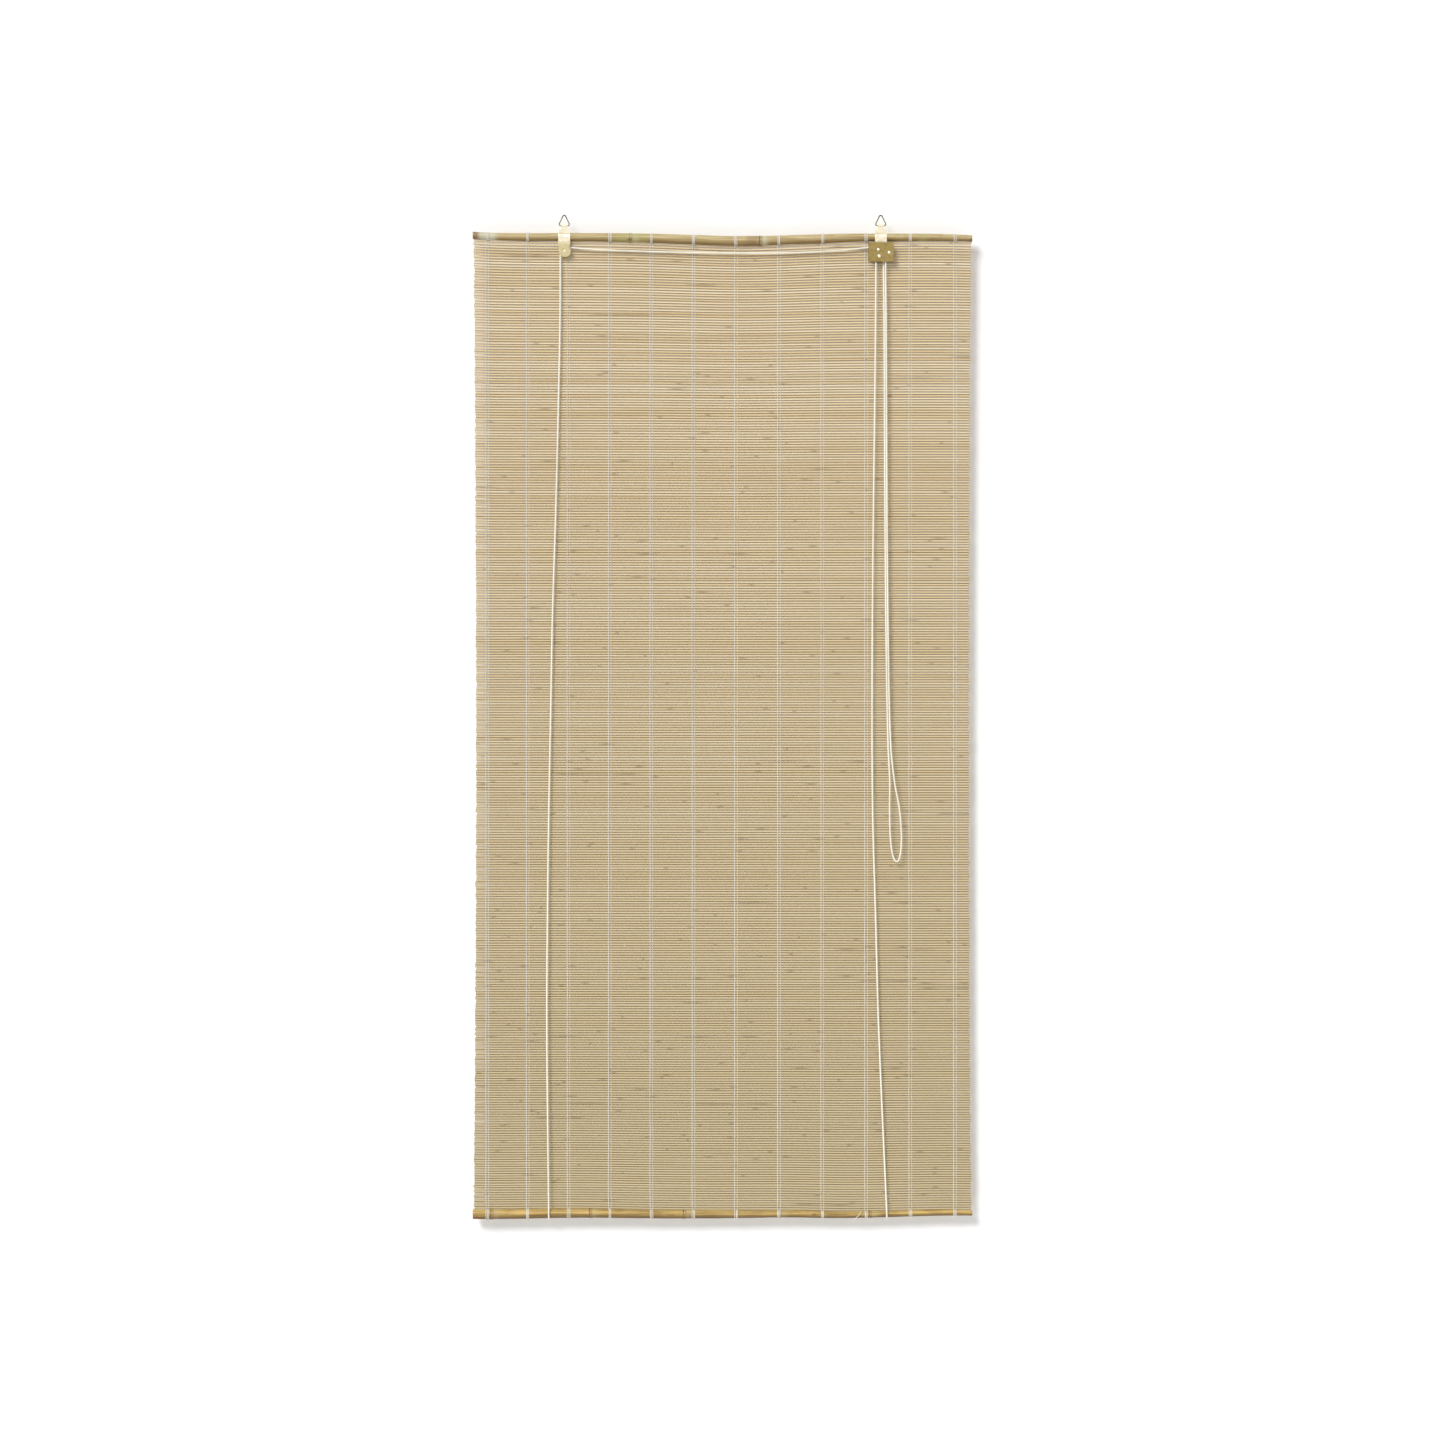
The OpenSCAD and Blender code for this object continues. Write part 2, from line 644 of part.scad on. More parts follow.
module bight(x) {
    color(cord_white) translate([x, 0, -blind_drop]) rotate([0, 90, 0]) rotate(-90)
        rotate_extrude(angle = 180) translate([bight_r(x), 0]) circle(cord_r);
}

module left_rail_bight() {
    bight(left_bight_x);
}

module right_rail_bight() {
    bight(right_bight_x);
}

module anchor_knot(x, axis_z, r) {
    color(cord_white) translate([x, anchor_y(r), axis_z + sheet_t / 2 + knot_r]) sphere(knot_r);
}

module left_anchor_knot() {
    anchor_knot(-bracket_x, left_axis_z, left_rail_r);
}

module right_anchor_knot() {
    anchor_knot(bracket_x, right_axis_z, right_rail_r);
}

module cross_cord() {
    color(cord_white) cord(concat(
        wheel_arc(pulley_at, pulley_y, pulley_r, 180, 95, 4),
        cross_route,
        wheel_arc(lock_pulley_at, lock_pulley_y + groove_step, lock_pulley_r, 110, 0, 5),
        [[pull_line[0][0], lock_pulley_y + groove_step, lock_exit_z]]));
}

module lock_turn_cord() {
    far = len(pull_line) - 1;
    color(cord_white) cord(concat(
        [[bracket_x - right_drop_inset, lock_pulley_y - groove_step, lock_exit_z]],
        wheel_arc(lock_pulley_at, lock_pulley_y - groove_step, lock_pulley_r, 180, 0, 8),
        [[pull_line[far][0], lock_pulley_y - groove_step, lock_exit_z]]));
}

module pull_cord() {
    far = len(pull_line) - 1;
    color(cord_white) cord(concat(
        [[pull_line[0][0], lock_pulley_y + groove_step, lock_exit_z]],
        pull_line,
        [[pull_line[far][0], lock_pulley_y - groove_step, lock_exit_z]]));
}

top_rail();
bottom_rail();
slat_mat();
warp_threads();
top_ties();
bottom_ties();
pulley_bracket();
lock_bracket();
left_hanging_ring();
right_hanging_ring();
left_pulley();
left_pulley_rivet();
lock_pulley();
lock_pulley_rivet();
lock_guide_post();
lock_cam();
lock_cam_rivet();
left_tacks();
right_tacks();
left_lift_cord();
right_lift_cord();
left_rail_bight();
right_rail_bight();
left_anchor_knot();
right_anchor_knot();
cross_cord();
lock_turn_cord();
pull_cord();
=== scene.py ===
import json
import math

import bmesh
import bpy
from bpy.props import FloatProperty, FloatVectorProperty, IntProperty, PointerProperty
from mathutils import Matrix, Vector
from mathutils import noise as math_noise


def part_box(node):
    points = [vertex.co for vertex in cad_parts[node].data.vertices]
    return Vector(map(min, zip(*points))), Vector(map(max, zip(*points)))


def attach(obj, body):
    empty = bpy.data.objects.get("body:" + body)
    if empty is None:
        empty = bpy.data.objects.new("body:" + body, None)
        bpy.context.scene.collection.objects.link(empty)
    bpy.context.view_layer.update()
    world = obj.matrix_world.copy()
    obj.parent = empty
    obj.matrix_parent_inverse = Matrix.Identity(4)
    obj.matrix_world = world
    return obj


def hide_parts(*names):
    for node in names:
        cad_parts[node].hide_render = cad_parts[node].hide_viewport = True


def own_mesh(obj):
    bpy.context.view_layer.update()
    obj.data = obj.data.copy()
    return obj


bl_info = {
    "name": "Bamboo roll up blind",
    "version": (1, 0, 0),
    "blender": (4, 5, 0),
    "location": "View3D > Sidebar > Blind",
    "description": "Dresses a bamboo roll up blind with sticks, threads, culms, cords and finishes",
    "category": "Object",
}

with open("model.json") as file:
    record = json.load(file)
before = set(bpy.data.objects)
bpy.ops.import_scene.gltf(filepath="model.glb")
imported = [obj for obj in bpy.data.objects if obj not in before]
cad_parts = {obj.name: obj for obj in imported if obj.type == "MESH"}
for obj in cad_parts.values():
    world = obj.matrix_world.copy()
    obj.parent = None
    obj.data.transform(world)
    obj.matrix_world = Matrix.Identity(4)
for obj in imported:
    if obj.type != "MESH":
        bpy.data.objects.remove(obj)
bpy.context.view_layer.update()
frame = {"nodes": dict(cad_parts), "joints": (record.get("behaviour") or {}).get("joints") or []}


def srgb(red, green, blue):
    """A colour as seen on a screen, 0 to 255, as the linear values that a shader takes."""
    return tuple(((c / 255 + 0.055) / 1.055) ** 2.4 for c in (red, green, blue))


# Places and travel taken from the frame
LIFT = next(joint for joint in frame["joints"] if joint["name"] == "lift")
TRAVEL = LIFT["range_m"][1]
TOP_LOW, TOP_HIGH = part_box("top_rail")
BAR_LOW, BAR_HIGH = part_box("bottom_rail")
MAT_LOW, MAT_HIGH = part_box("slat_mat")
RAIL_HALF = (TOP_HIGH[0] - TOP_LOW[0]) / 2
BAR_Z = (BAR_LOW[2] + BAR_HIGH[2]) / 2
MM = 0.001

# The lines of the two rails, as the part has them
RAIL_DROP = 34 * MM
RAIL_BOW = 6 * MM
BOW_CENTRE = 30 * MM
BOW_SPREAD = 130 * MM
LEFT_TIP_RISE = 3 * MM
RIGHT_TIP_DIP = 2 * MM
TIP_LENGTH = 40 * MM
TOP_R_LEFT = 6 * MM
TOP_R_MIDDLE = 8.25 * MM
TOP_R_RIGHT = 5.5 * MM
BAR_R_LEFT = 8.25 * MM
BAR_R_RIGHT = 4.5 * MM
KNUCKLE_H = 0.7 * MM
HALF_MM = 400
TOP_KNUCKLES = [(at - HALF_MM) * MM for at in (23, 252, 460)]
BAR_KNUCKLES = [(at - HALF_MM) * MM for at in (30, 188, 338, 490, 636)]
MAT_GAP = 0.2 * MM

# Bends of the bottom rail: where, how wide, and the rise in millimetres
BAR_BENDS = (
    (-0.37, 0.06, -1.0), (-0.22, 0.07, 0.6), (-0.04, 0.12, -1.4), (0.2, 0.07, -1.8), (0.37, 0.07, 1.4))

# Seeds of the random draws, one for each thing that varies
SEED_NUDGE, SEED_SHIFT, SEED_DEPTH, SEED_LENGTH = 11, 12, 13, 14
SEED_TALL, SEED_DEEP, SEED_TONE, SEED_DRIFT, SEED_SLANT = 15, 16, 17, 18, 21
SEED_TOP_TIES, SEED_BOTTOM_TIES = 31, 41
SEED_KNOT_X, SEED_KNOT_Y, SEED_END_PITCH, SEED_END_ROLL = 51, 52, 53, 54

# Keeps a whole number from falling below itself when it is rounded down
ROUND_GUARD = 0.0001


class Field:
    """A node socket whose sums and products add Math nodes to its tree."""

    def __init__(self, tree, socket):
        self.tree = tree
        self.socket = socket

    def math(self, operation, *values):
        return self.tree.add("ShaderNodeMath", {"operation": operation}, dict(enumerate(values)))

    def __add__(self, other):
        return self.math("ADD", self, other)

    def __radd__(self, other):
        return self.math("ADD", other, self)

    def __sub__(self, other):
        return self.math("SUBTRACT", self, other)

    def __rsub__(self, other):
        return self.math("SUBTRACT", other, self)

    def __mul__(self, other):
        return self.math("MULTIPLY", self, other)

    def __rmul__(self, other):
        return self.math("MULTIPLY", other, self)

    def __truediv__(self, other):
        return self.math("DIVIDE", self, other)

    def __neg__(self):
        return self.math("MULTIPLY", self, -1.0)

    def __pow__(self, power):
        return self.math("POWER", self, power)

    def exp(self):
        return self.math("EXPONENT", self)

    def sin(self):
        return self.math("SINE", self)

    def floor(self):
        return self.math("FLOOR", self)

    def magnitude(self):
        return self.math("ABSOLUTE", self)

    def at_least(self, low):
        return self.math("MAXIMUM", self, low)

    def at_most(self, high):
        return self.math("MINIMUM", self, high)

    def above(self, edge):
        return self.math("GREATER_THAN", self, edge)


def grown(value):
    """The exponential of a number or of a field."""
    return value.exp() if isinstance(value, Field) else math.exp(value)


def floored(value):
    """A number or a field, and nothing below zero."""
    return value.at_least(0.0) if isinstance(value, Field) else max(value, 0.0)


class Tree:
    """A node tree with one way to add a node: its type, its settings and its sockets."""

    def __init__(self, nodes):
        self.nodes = nodes

    def add(self, kind, settings=None, sockets=None, out=0):
        node = self.nodes.nodes.new(kind)
        for name, value in (settings or {}).items():
            setattr(node, name, value)
        for name, value in (sockets or {}).items():
            self.join(self.found(node.inputs, name), value)
        return Field(self, self.found(node.outputs, out))

    def found(self, sockets, name):
        if isinstance(name, int):
            return sockets[name]
        return next(s for s in sockets if s.name == name and s.enabled)

    def join(self, socket, value):
        if isinstance(value, Field):
            self.nodes.links.new(value.socket, socket)
        else:
            socket.default_value = value

    def split(self, vector):
        node = self.nodes.nodes.new("ShaderNodeSeparateXYZ")
        self.join(node.inputs[0], vector)
        return [Field(self, output) for output in node.outputs]

    def vector(self, x, y, z):
        return self.add("ShaderNodeCombineXYZ", None, {0: x, 1: y, 2: z})


def bell(x, centre, spread):
    """A smooth hump of height 1, for a number or a field."""
    share = (x - centre) / spread
    return grown(-(share * share))


def humps(x, places, spread):
    """Equal humps at several places."""
    return sum((bell(x, at, spread) for at in places), 0.0 * x)


def rail_axis_z(x):
    """Height of the top rail's centre line."""
    middle = RAIL_BOW * bell(x, BOW_CENTRE, BOW_SPREAD)
    left = LEFT_TIP_RISE * grown((x + RAIL_HALF) / -TIP_LENGTH)
    right = RIGHT_TIP_DIP * grown((RAIL_HALF - x) / -TIP_LENGTH)
    return left - middle - right - RAIL_DROP


def top_rail_r(x):
    """Radius of the top rail, largest where it bows."""
    left_slope = (TOP_R_MIDDLE - TOP_R_LEFT) / (BOW_CENTRE + RAIL_HALF)
    right_slope = (TOP_R_MIDDLE - TOP_R_RIGHT) / (RAIL_HALF - BOW_CENTRE)
    return TOP_R_MIDDLE - left_slope * floored(BOW_CENTRE - x) - right_slope * floored(x - BOW_CENTRE)


def bar_r(x):
    """Radius of the bottom rail, which tapers from left to right."""
    return BAR_R_LEFT + (BAR_R_RIGHT - BAR_R_LEFT) * (x + RAIL_HALF) / (2 * RAIL_HALF)


def bar_axis_z(x):
    """Height of the bottom rail's centre line, which has gentle bends of its own."""
    return sum((bell(x, at, spread) * (rise * MM) for at, spread, rise in BAR_BENDS), 0.0 * x) + BAR_Z


# Where the raised mat meets the rails: the highest underside of one, the highest top of the other
RAIL_PLACES = [RAIL_HALF * step / 40 for step in range(-40, 41)]
MAT_TOP_Z = max(rail_axis_z(x) - top_rail_r(x) for x in RAIL_PLACES)
MAT_LOW_Z = max(bar_axis_z(x) + bar_r(x) for x in RAIL_PLACES) + MAT_GAP

# The hang of the mat: where its first stick lies, and how the bow fades further down
FIRST_STICK_Z = -0.0438
BOW_FADE = 0.16
HALF_STICK = 1.9 * MM
LAST_STICK_Z = BAR_Z + (BAR_R_LEFT + BAR_R_RIGHT) / 2 + MAT_GAP + HALF_STICK
PITCH_FALL = 0.06


def mat_sag(x, z):
    """How far a stick follows the line of the rail above it, or of the one below."""
    under = rail_axis_z(x) - top_rail_r(x) - MAT_GAP - HALF_STICK - FIRST_STICK_Z
    over = bar_axis_z(x) - BAR_Z + bar_r(x) - (BAR_R_LEFT + BAR_R_RIGHT) / 2
    return under * grown((z - FIRST_STICK_Z) / BOW_FADE) + over * grown((LAST_STICK_Z - z) / BOW_FADE)


def row_height(share):
    """Height of a stick from its place in the row of sticks, 0 at the top and 1 at the bottom."""
    eased = share * (1 + PITCH_FALL) - share * share * PITCH_FALL
    return FIRST_STICK_Z + eased * (LAST_STICK_Z - FIRST_STICK_Z)


def tint(name, description, *screen):
    """A colour that a user can change, given as it is seen on a screen."""
    return FloatVectorProperty(name=name, description=description, subtype="COLOR", default=srgb(*screen))


def measure(name, description, millimetres):
    """A length that a user can change."""
    return FloatProperty(name=name, description=description, default=millimetres * MM, unit="LENGTH")


class BlindSizes(bpy.types.PropertyGroup):
    """Sizes of the dressed pieces."""

    stick_count: IntProperty(name="Sticks", description="Number of sticks in the mat", default=386)
    stick_height: measure("Stick height", "Mean height of a stick's face", 3.7)
    stick_depth: measure("Stick depth", "Thickness of a stick, front to back", 2.1)
    mat_waist: FloatProperty(
        name="Waist", description="How much shorter the sticks are at half height",
        default=0.009, subtype="FACTOR")
    thread_d: measure("Thread", "Thickness of a warp thread", 1.15)
    strand_gap: measure("Strand gap", "Distance between the two strands of a column", 4.4)
    tie_turns: IntProperty(name="Turns", description="Turns of thread in one tie", default=3)
    columns: IntProperty(name="Columns", description="Columns of warp thread", default=12)
    cord_d: measure("Cord", "Diameter of the lift cord", 2.8)
    cord_lay: measure("Cord lay", "Length of one turn of the cord's strands", 10)


class BlindColours(bpy.types.PropertyGroup):
    """Colours of the finishes, as seen in plain light."""

    stick_pale: tint("Pale stick", "Lightest sticks", 236, 219, 186)
    stick_brown: tint("Brown streak", "Darker streaks along a stick", 196, 164, 114)
    # Painted shade along the sides where two sticks meet, and also the colour of a joint on a stick
    stick_joint_and_crevice_shade: tint("Stick edge", "Dark edge where two sticks meet", 106, 80, 42)
    stick_warm: tint("Warm stick", "Most golden sticks", 221, 197, 152)
    stick_low: tint("Low stick", "Sticks near the bottom, a shade greyer", 186, 172, 134)
    culm_top: tint("Top culm", "Skin of the top rail", 202, 184, 138)
    # The rails' dark colours serve their darker fibres and blotches, and also the painted shade on their
    # undersides
    culm_top_fibre_and_shade: tint("Top culm, dark", "Darker fibres of the top rail", 134, 106, 48)
    culm_bar: tint("Bottom culm", "Skin of the bottom rail", 204, 172, 98)
    culm_bar_fibre_and_shade: tint("Bottom culm, dark", "Darker fibres of the bottom rail", 100, 74, 26)
    scar: tint("Scar", "Brown line at a knuckle", 112, 78, 40)
    wax: tint("Wax", "Grey-green bloom beside a knuckle", 196, 196, 164)
    thread: tint("Thread", "Warp thread", 226, 222, 214)
    cord: tint("Cord", "Lift cord", 240, 237, 224)
    brass_pale: tint("Pale brass", "Pulley bracket", 206, 192, 150)
    brass_dull: tint("Dull brass", "Cord lock", 156, 136, 84)
    bright: tint("Bright plating", "Rivets and tacks", 244, 240, 226)
    # Painted highlight: the brackets take this pale colour above the top rail's middle height, where they
    # curve over it
    painted_highlight: tint("Rubbed plating", "Upper part of the brackets", 230, 222, 199)
    wire: tint("Wire", "Bent wire of the hanging rings", 116, 110, 88)
    wheel: tint("Wheel", "Moulded pulleys", 226, 218, 196)


def sizes():
    return bpy.context.scene.blind_sizes


def colours():
    return bpy.context.scene.blind_colours


# Finishes
def new_material(name):
    """A new material, its tree and its one shader."""
    material = bpy.data.materials.new(name)
    material.use_nodes = True
    tree = Tree(material.node_tree)
    shader = material.node_tree.nodes["Principled BSDF"]
    return material, tree, shader


def object_place(tree):
    return tree.add("ShaderNodeTexCoord", None, None, "Object")


def noise(tree, place, scale, detail=3.0, roughness=0.55):
    return tree.add("ShaderNodeTexNoise", {"noise_dimensions": "3D"},
                    {"Vector": place, "Scale": scale, "Detail": detail, "Roughness": roughness}, "Fac")


def stretched(tree, place, x, y, z):
    return tree.add("ShaderNodeVectorMath", {"operation": "MULTIPLY"}, {0: place, 1: (x, y, z)})


def spread_out(tree, value, low, high):
    """A value taken from the range low to high to the range 0 to 1."""
    return tree.add("ShaderNodeMapRange", {"clamp": True}, {0: value, 1: low, 2: high, 3: 0.0, 4: 1.0})


def mixed(tree, share, first, second):
    """One colour blended into another."""
    node = tree.nodes.nodes.new("ShaderNodeMix")
    node.data_type = "RGBA"
    for index, value in ((0, share), (6, first), (7, second)):
        if index > 0 and not isinstance(value, Field):
            value = tuple(value) + (1.0,)
        tree.join(node.inputs[index], value)
    return Field(tree, node.outputs[2])


def bumped(tree, shader, height, strength, distance):
    normal = tree.add("ShaderNodeBump", None, {"Strength": strength, "Distance": distance, "Height": height})
    tree.join(shader.inputs["Normal"], normal)


def stick_finish():
    """Split bamboo: each stick has its own tone, fibres along it, painted shade along its sides where sticks
    meet, and now and then a joint.
    """
    material, tree, shader = new_material("split_bamboo")
    c = colours()
    place = object_place(tree)
    x, y, z = tree.split(place)
    tone, drift, edge = [tree.add("ShaderNodeAttribute", {"attribute_name": name}, None, "Fac")
                         for name in ("tone", "drift", "edge")]
    along = noise(tree, tree.vector(x * 4 + drift * 40, drift * 90, tone * 70), 1.0, 2.0)
    fibre = noise(tree, stretched(tree, place, 12, 1500, 1500), 1.0, 3.0)
    lower = spread_out(tree, z, -0.1, -1.45)
    body = mixed(tree, tone, c.stick_warm, c.stick_pale)
    body = mixed(tree, spread_out(tree, along, 0.5, 0.8) * 0.45, body, c.stick_brown)
    body = mixed(tree, lower * 0.8, body, c.stick_low)
    body = mixed(tree, spread_out(tree, fibre, 0.55, 0.85) * 0.3, body, c.stick_brown)
    ring = noise(tree, tree.vector(x * 2.2 + drift * 60, drift * 300, tone * 200), 1.0, 0.0)
    joint = bell(ring, 0.62, 0.004)
    body = mixed(tree, joint * 0.4, body, c.stick_joint_and_crevice_shade)
    # Painted shade: each stick darkens towards its upper and lower sides, where it meets the next stick
    rim = spread_out(tree, edge + fibre * 0.2, 0.5, 1.0)
    body = mixed(tree, rim * 0.95, body, c.stick_joint_and_crevice_shade)
    tree.join(shader.inputs["Base Color"], body)
    tree.join(shader.inputs["Roughness"], 0.5 + fibre * 0.25)
    bumped(tree, shader, fibre + joint * 0.6, 0.3, 0.0003)
    return material


def culm_finish(name, skin, dark, knuckles, bloom, marks, middle_z, radius):
    """Bamboo skin: long fibres, blotches, painted shade on the underside, a scar and a pale ring at each
    knuckle, and its own marks.
    """
    material, tree, shader = new_material(name)
    c = colours()
    place = object_place(tree)
    x, y, z = tree.split(place)
    fibre = noise(tree, stretched(tree, place, 14, 900, 900), 1.0, 4.0)
    blotch = noise(tree, stretched(tree, place, 22, 60, 60), 1.0, 3.0)
    speck = noise(tree, stretched(tree, place, 260, 420, 420), 1.0, 2.0)
    body = mixed(tree, spread_out(tree, fibre, 0.4, 0.72), skin, dark)
    body = mixed(tree, spread_out(tree, blotch, 0.5, 0.72) * 0.55, body, dark)
    # Painted shade: the culm darkens below its centre line, on its underside
    painted_underside_shade = spread_out(tree, (middle_z(x) - z) / radius(x) + (fibre - 0.5) * 0.5, -0.25, 0.7)
    body = mixed(tree, painted_underside_shade * 0.95, body, dark)
    pale = humps(x, [at + 7 * MM for at in knuckles], 6 * MM)
    scar = humps(x, [at - 0.6 * MM for at in knuckles], 1.3 * MM)
    sheath = humps(x, [at + 2.6 * MM for at in knuckles], 0.6 * MM)
    body = mixed(tree, (pale * bloom).at_most(1.0), body, c.wax)
    body = mixed(tree, (scar * (0.55 + blotch * 0.6)).at_most(0.9), body, c.scar)
    body = mixed(tree, (sheath * 0.5).at_most(0.6), body, c.scar)
    body = mixed(tree, spread_out(tree, speck, 0.66, 0.74) * 0.5, body, c.scar)
    for centre, reach, amount, colour in marks:
        away = tree.add("ShaderNodeVectorMath", {"operation": "SUBTRACT"}, {0: place, 1: centre})
        away = tree.add("ShaderNodeVectorMath", {"operation": "DIVIDE"}, {0: away, 1: reach})
        off = tree.add("ShaderNodeVectorMath", {"operation": "LENGTH"}, {0: away}, "Value")
        share = spread_out(tree, 1.4 - off + (blotch - 0.5) * 1.2, 0.0, 0.8)
        body = mixed(tree, share * amount, body, colour)
    tree.join(shader.inputs["Base Color"], body)
    tree.join(shader.inputs["Roughness"], 0.3 + fibre * 0.2 + blotch * 0.1)
    bumped(tree, shader, fibre + speck * 0.4 - scar, 0.25, 0.0004)
    shader.inputs["Coat Weight"].default_value = 0.12
    return material


def top_marks():
    """Marks on the top rail: its place, reach along each axis, strength and colour."""
    green, brown, grey = srgb(168, 162, 100), srgb(118, 82, 42), srgb(198, 196, 172)
    wide = 20 * MM
    return [
        ((-0.376, 0.0, rail_axis_z(-0.376)), (14 * MM, wide, wide), 0.75, grey),
        ((-0.397, 0.0, rail_axis_z(-0.397)), (5 * MM, wide, wide), 0.6, brown),
        ((-0.146, 0.0, rail_axis_z(-0.146)), (30 * MM, wide, wide), 0.6, green),
        ((-0.148, -7 * MM, rail_axis_z(-0.148) - 3 * MM), (4 * MM, 4 * MM, 2.5 * MM), 0.85, brown),
        ((0.048, 0.0, rail_axis_z(0.048)), (11 * MM, wide, wide), 0.4, brown),
        ((0.32, 0.0, rail_axis_z(0.32)), (7 * MM, wide, wide), 0.4, green),
        ((0.398, -4 * MM, rail_axis_z(0.398) - 4 * MM), (3 * MM, 6 * MM, 3 * MM), 0.8, brown),
    ]


def bar_marks():
    """Marks on the bottom rail: its place, reach along each axis, strength and colour."""
    brown, red = srgb(126, 84, 38), srgb(142, 82, 46)
    wide = 20 * MM
    return [
        ((-0.397, 0.0, BAR_Z - 6 * MM), (7 * MM, wide, 4 * MM), 0.6, red),
        ((0.147, -6 * MM, BAR_Z - 1 * MM), (4 * MM, 4 * MM, 2 * MM), 0.8, brown),
        ((0.21, -6 * MM, BAR_Z + 1 * MM), (16 * MM, 4 * MM, 0.5 * MM), 0.7, brown),
        ((-0.29, -7 * MM, BAR_Z), (22 * MM, 9 * MM, 5 * MM), 0.25, brown),
    ]


def yarn_finish(name, colour, shade):
    """Cotton: fine fuzz, small soiled patches and a soft sheen."""
    material, tree, shader = new_material(name)
    place = object_place(tree)
    fuzz = noise(tree, place, 2600.0, 3.0)
    soil = noise(tree, stretched(tree, place, 30, 30, 9), 1.0, 3.0)
    body = mixed(tree, spread_out(tree, soil, 0.5, 0.75) * 0.45, colour, shade)
    body = mixed(tree, spread_out(tree, fuzz, 0.5, 0.8) * 0.4, body, shade)
    tree.join(shader.inputs["Base Color"], body)
    tree.join(shader.inputs["Roughness"], 0.75 + fuzz * 0.2)
    bumped(tree, shader, fuzz, 0.5, 0.0002)
    shader.inputs["Sheen Weight"].default_value = 0.25
    return material


def plated_finish(name, colour, worn, rough, upper=None):
    """Plated sheet: rolling lines, dull patches, fine scratches and pin-prick pits.
    upper is the two heights between which it turns to another colour, and that colour."""
    material, tree, shader = new_material(name)
    place = object_place(tree)
    rolled = noise(tree, stretched(tree, place, 180, 180, 2400), 1.0, 3.0)
    patch = noise(tree, place, 130.0, 4.0)
    pit = noise(tree, place, 1500.0, 2.0)
    dull = spread_out(tree, patch, 0.42, 0.68)
    body = mixed(tree, dull * 0.8, colour, worn)
    if upper:
        # Above the given heights: a painted highlight on the brackets; on the rings the top turns almost
        # black
        low, high, other = upper
        x, y, z = tree.split(place)
        body = mixed(tree, spread_out(tree, z + (patch - 0.5) * 4 * MM, low, high) * 0.9, body, other)
    pit_brown = srgb(96, 74, 40)
    body = mixed(tree, spread_out(tree, pit, 0.66, 0.74) * 0.6, body, pit_brown)
    tree.join(shader.inputs["Base Color"], body)
    tree.join(shader.inputs["Roughness"], rough + dull * 0.2 + rolled * 0.12)
    tree.join(shader.inputs["Metallic"], 0.95 - dull * 0.25)
    bumped(tree, shader, rolled * 0.6 - pit * 0.3, 0.12, 0.0002)
    return material


def moulded_finish(name, colour):
    """Moulded plastic: a faint cloudiness of brownish patches and a fine grain."""
    material, tree, shader = new_material(name)
    place = object_place(tree)
    cloud = noise(tree, place, 160.0, 3.0)
    grain = noise(tree, place, 2200.0, 2.0)
    rubbed_brown = srgb(186, 172, 142)
    body = mixed(tree, spread_out(tree, cloud, 0.4, 0.7) * 0.5, colour, rubbed_brown)
    tree.join(shader.inputs["Base Color"], body)
    tree.join(shader.inputs["Roughness"], 0.42 + grain * 0.2)
    bumped(tree, shader, grain, 0.2, 0.0002)
    return material


def finish(name):
    """A finish by name, made the first time that it is asked for."""
    if name in bpy.data.materials:
        return bpy.data.materials[name]
    c = colours()
    makers = {
        "split_bamboo": stick_finish,
        "top_culm_skin": lambda: culm_finish(
            "top_culm_skin", c.culm_top, c.culm_top_fibre_and_shade, TOP_KNUCKLES, 0.6, top_marks(),
            rail_axis_z, top_rail_r),
        "bar_culm_skin": lambda: culm_finish(
            "bar_culm_skin", c.culm_bar, c.culm_bar_fibre_and_shade, BAR_KNUCKLES, 0.15, bar_marks(),
            bar_axis_z, bar_r),
        "warp_cotton": lambda: yarn_finish("warp_cotton", c.thread, srgb(186, 172, 138)),
        "cord_cotton": lambda: yarn_finish("cord_cotton", c.cord, srgb(206, 198, 172)),
        # The brackets turn to the painted highlight colour over the top of the rail
        "pale_brass_plate": lambda: plated_finish(
            "pale_brass_plate", c.brass_pale, srgb(172, 156, 104), 0.28, (-0.047, -0.04, c.painted_highlight)),
        "dull_brass_plate": lambda: plated_finish(
            "dull_brass_plate", c.brass_dull, srgb(122, 104, 56), 0.36, (-0.044, -0.041, c.painted_highlight)),
        "ring_wire": lambda: plated_finish(
            "ring_wire", c.wire, srgb(96, 88, 62), 0.3, (-4 * MM, -1 * MM, srgb(26, 24, 18))),
        "bright_plate": lambda: plated_finish("bright_plate", c.bright, srgb(206, 192, 150), 0.2),
        "moulded_wheel": lambda: moulded_finish("moulded_wheel", c.wheel),
    }
    return makers[name]()


# Making meshes
def show(name, mesh, body, slot, *nodes):
    """A finished mesh as a piece that rides on a body and stands for nodes. slot is not used."""
    piece = bpy.data.objects.new(name, mesh)
    bpy.context.scene.collection.objects.link(piece)
    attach(piece, body)
    if nodes:
        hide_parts(*nodes)
    return piece


def smooth(mesh):
    """Smooth sides; a cap of more than four corners stays flat."""
    for face in mesh.polygons:
        face.use_smooth = len(face.vertices) <= 4


def tube_mesh(name, rings, material):
    """A capped skin over rings of points, each ring with as many points as the next."""
    shape = bmesh.new()
    rows = [[shape.verts.new(point) for point in ring] for ring in rings]
    sides = len(rows[0])
    for near, far in zip(rows, rows[1:]):
        for j in range(sides):
            k = (j + 1) % sides
            shape.faces.new((near[j], near[k], far[k], far[j]))
    shape.faces.new(rows[0][::-1])
    shape.faces.new(rows[-1])
    bmesh.ops.recalc_face_normals(shape, faces=shape.faces)
    mesh = bpy.data.meshes.new(name)
    shape.to_mesh(mesh)
    shape.free()
    mesh.materials.append(material)
    smooth(mesh)
    return mesh


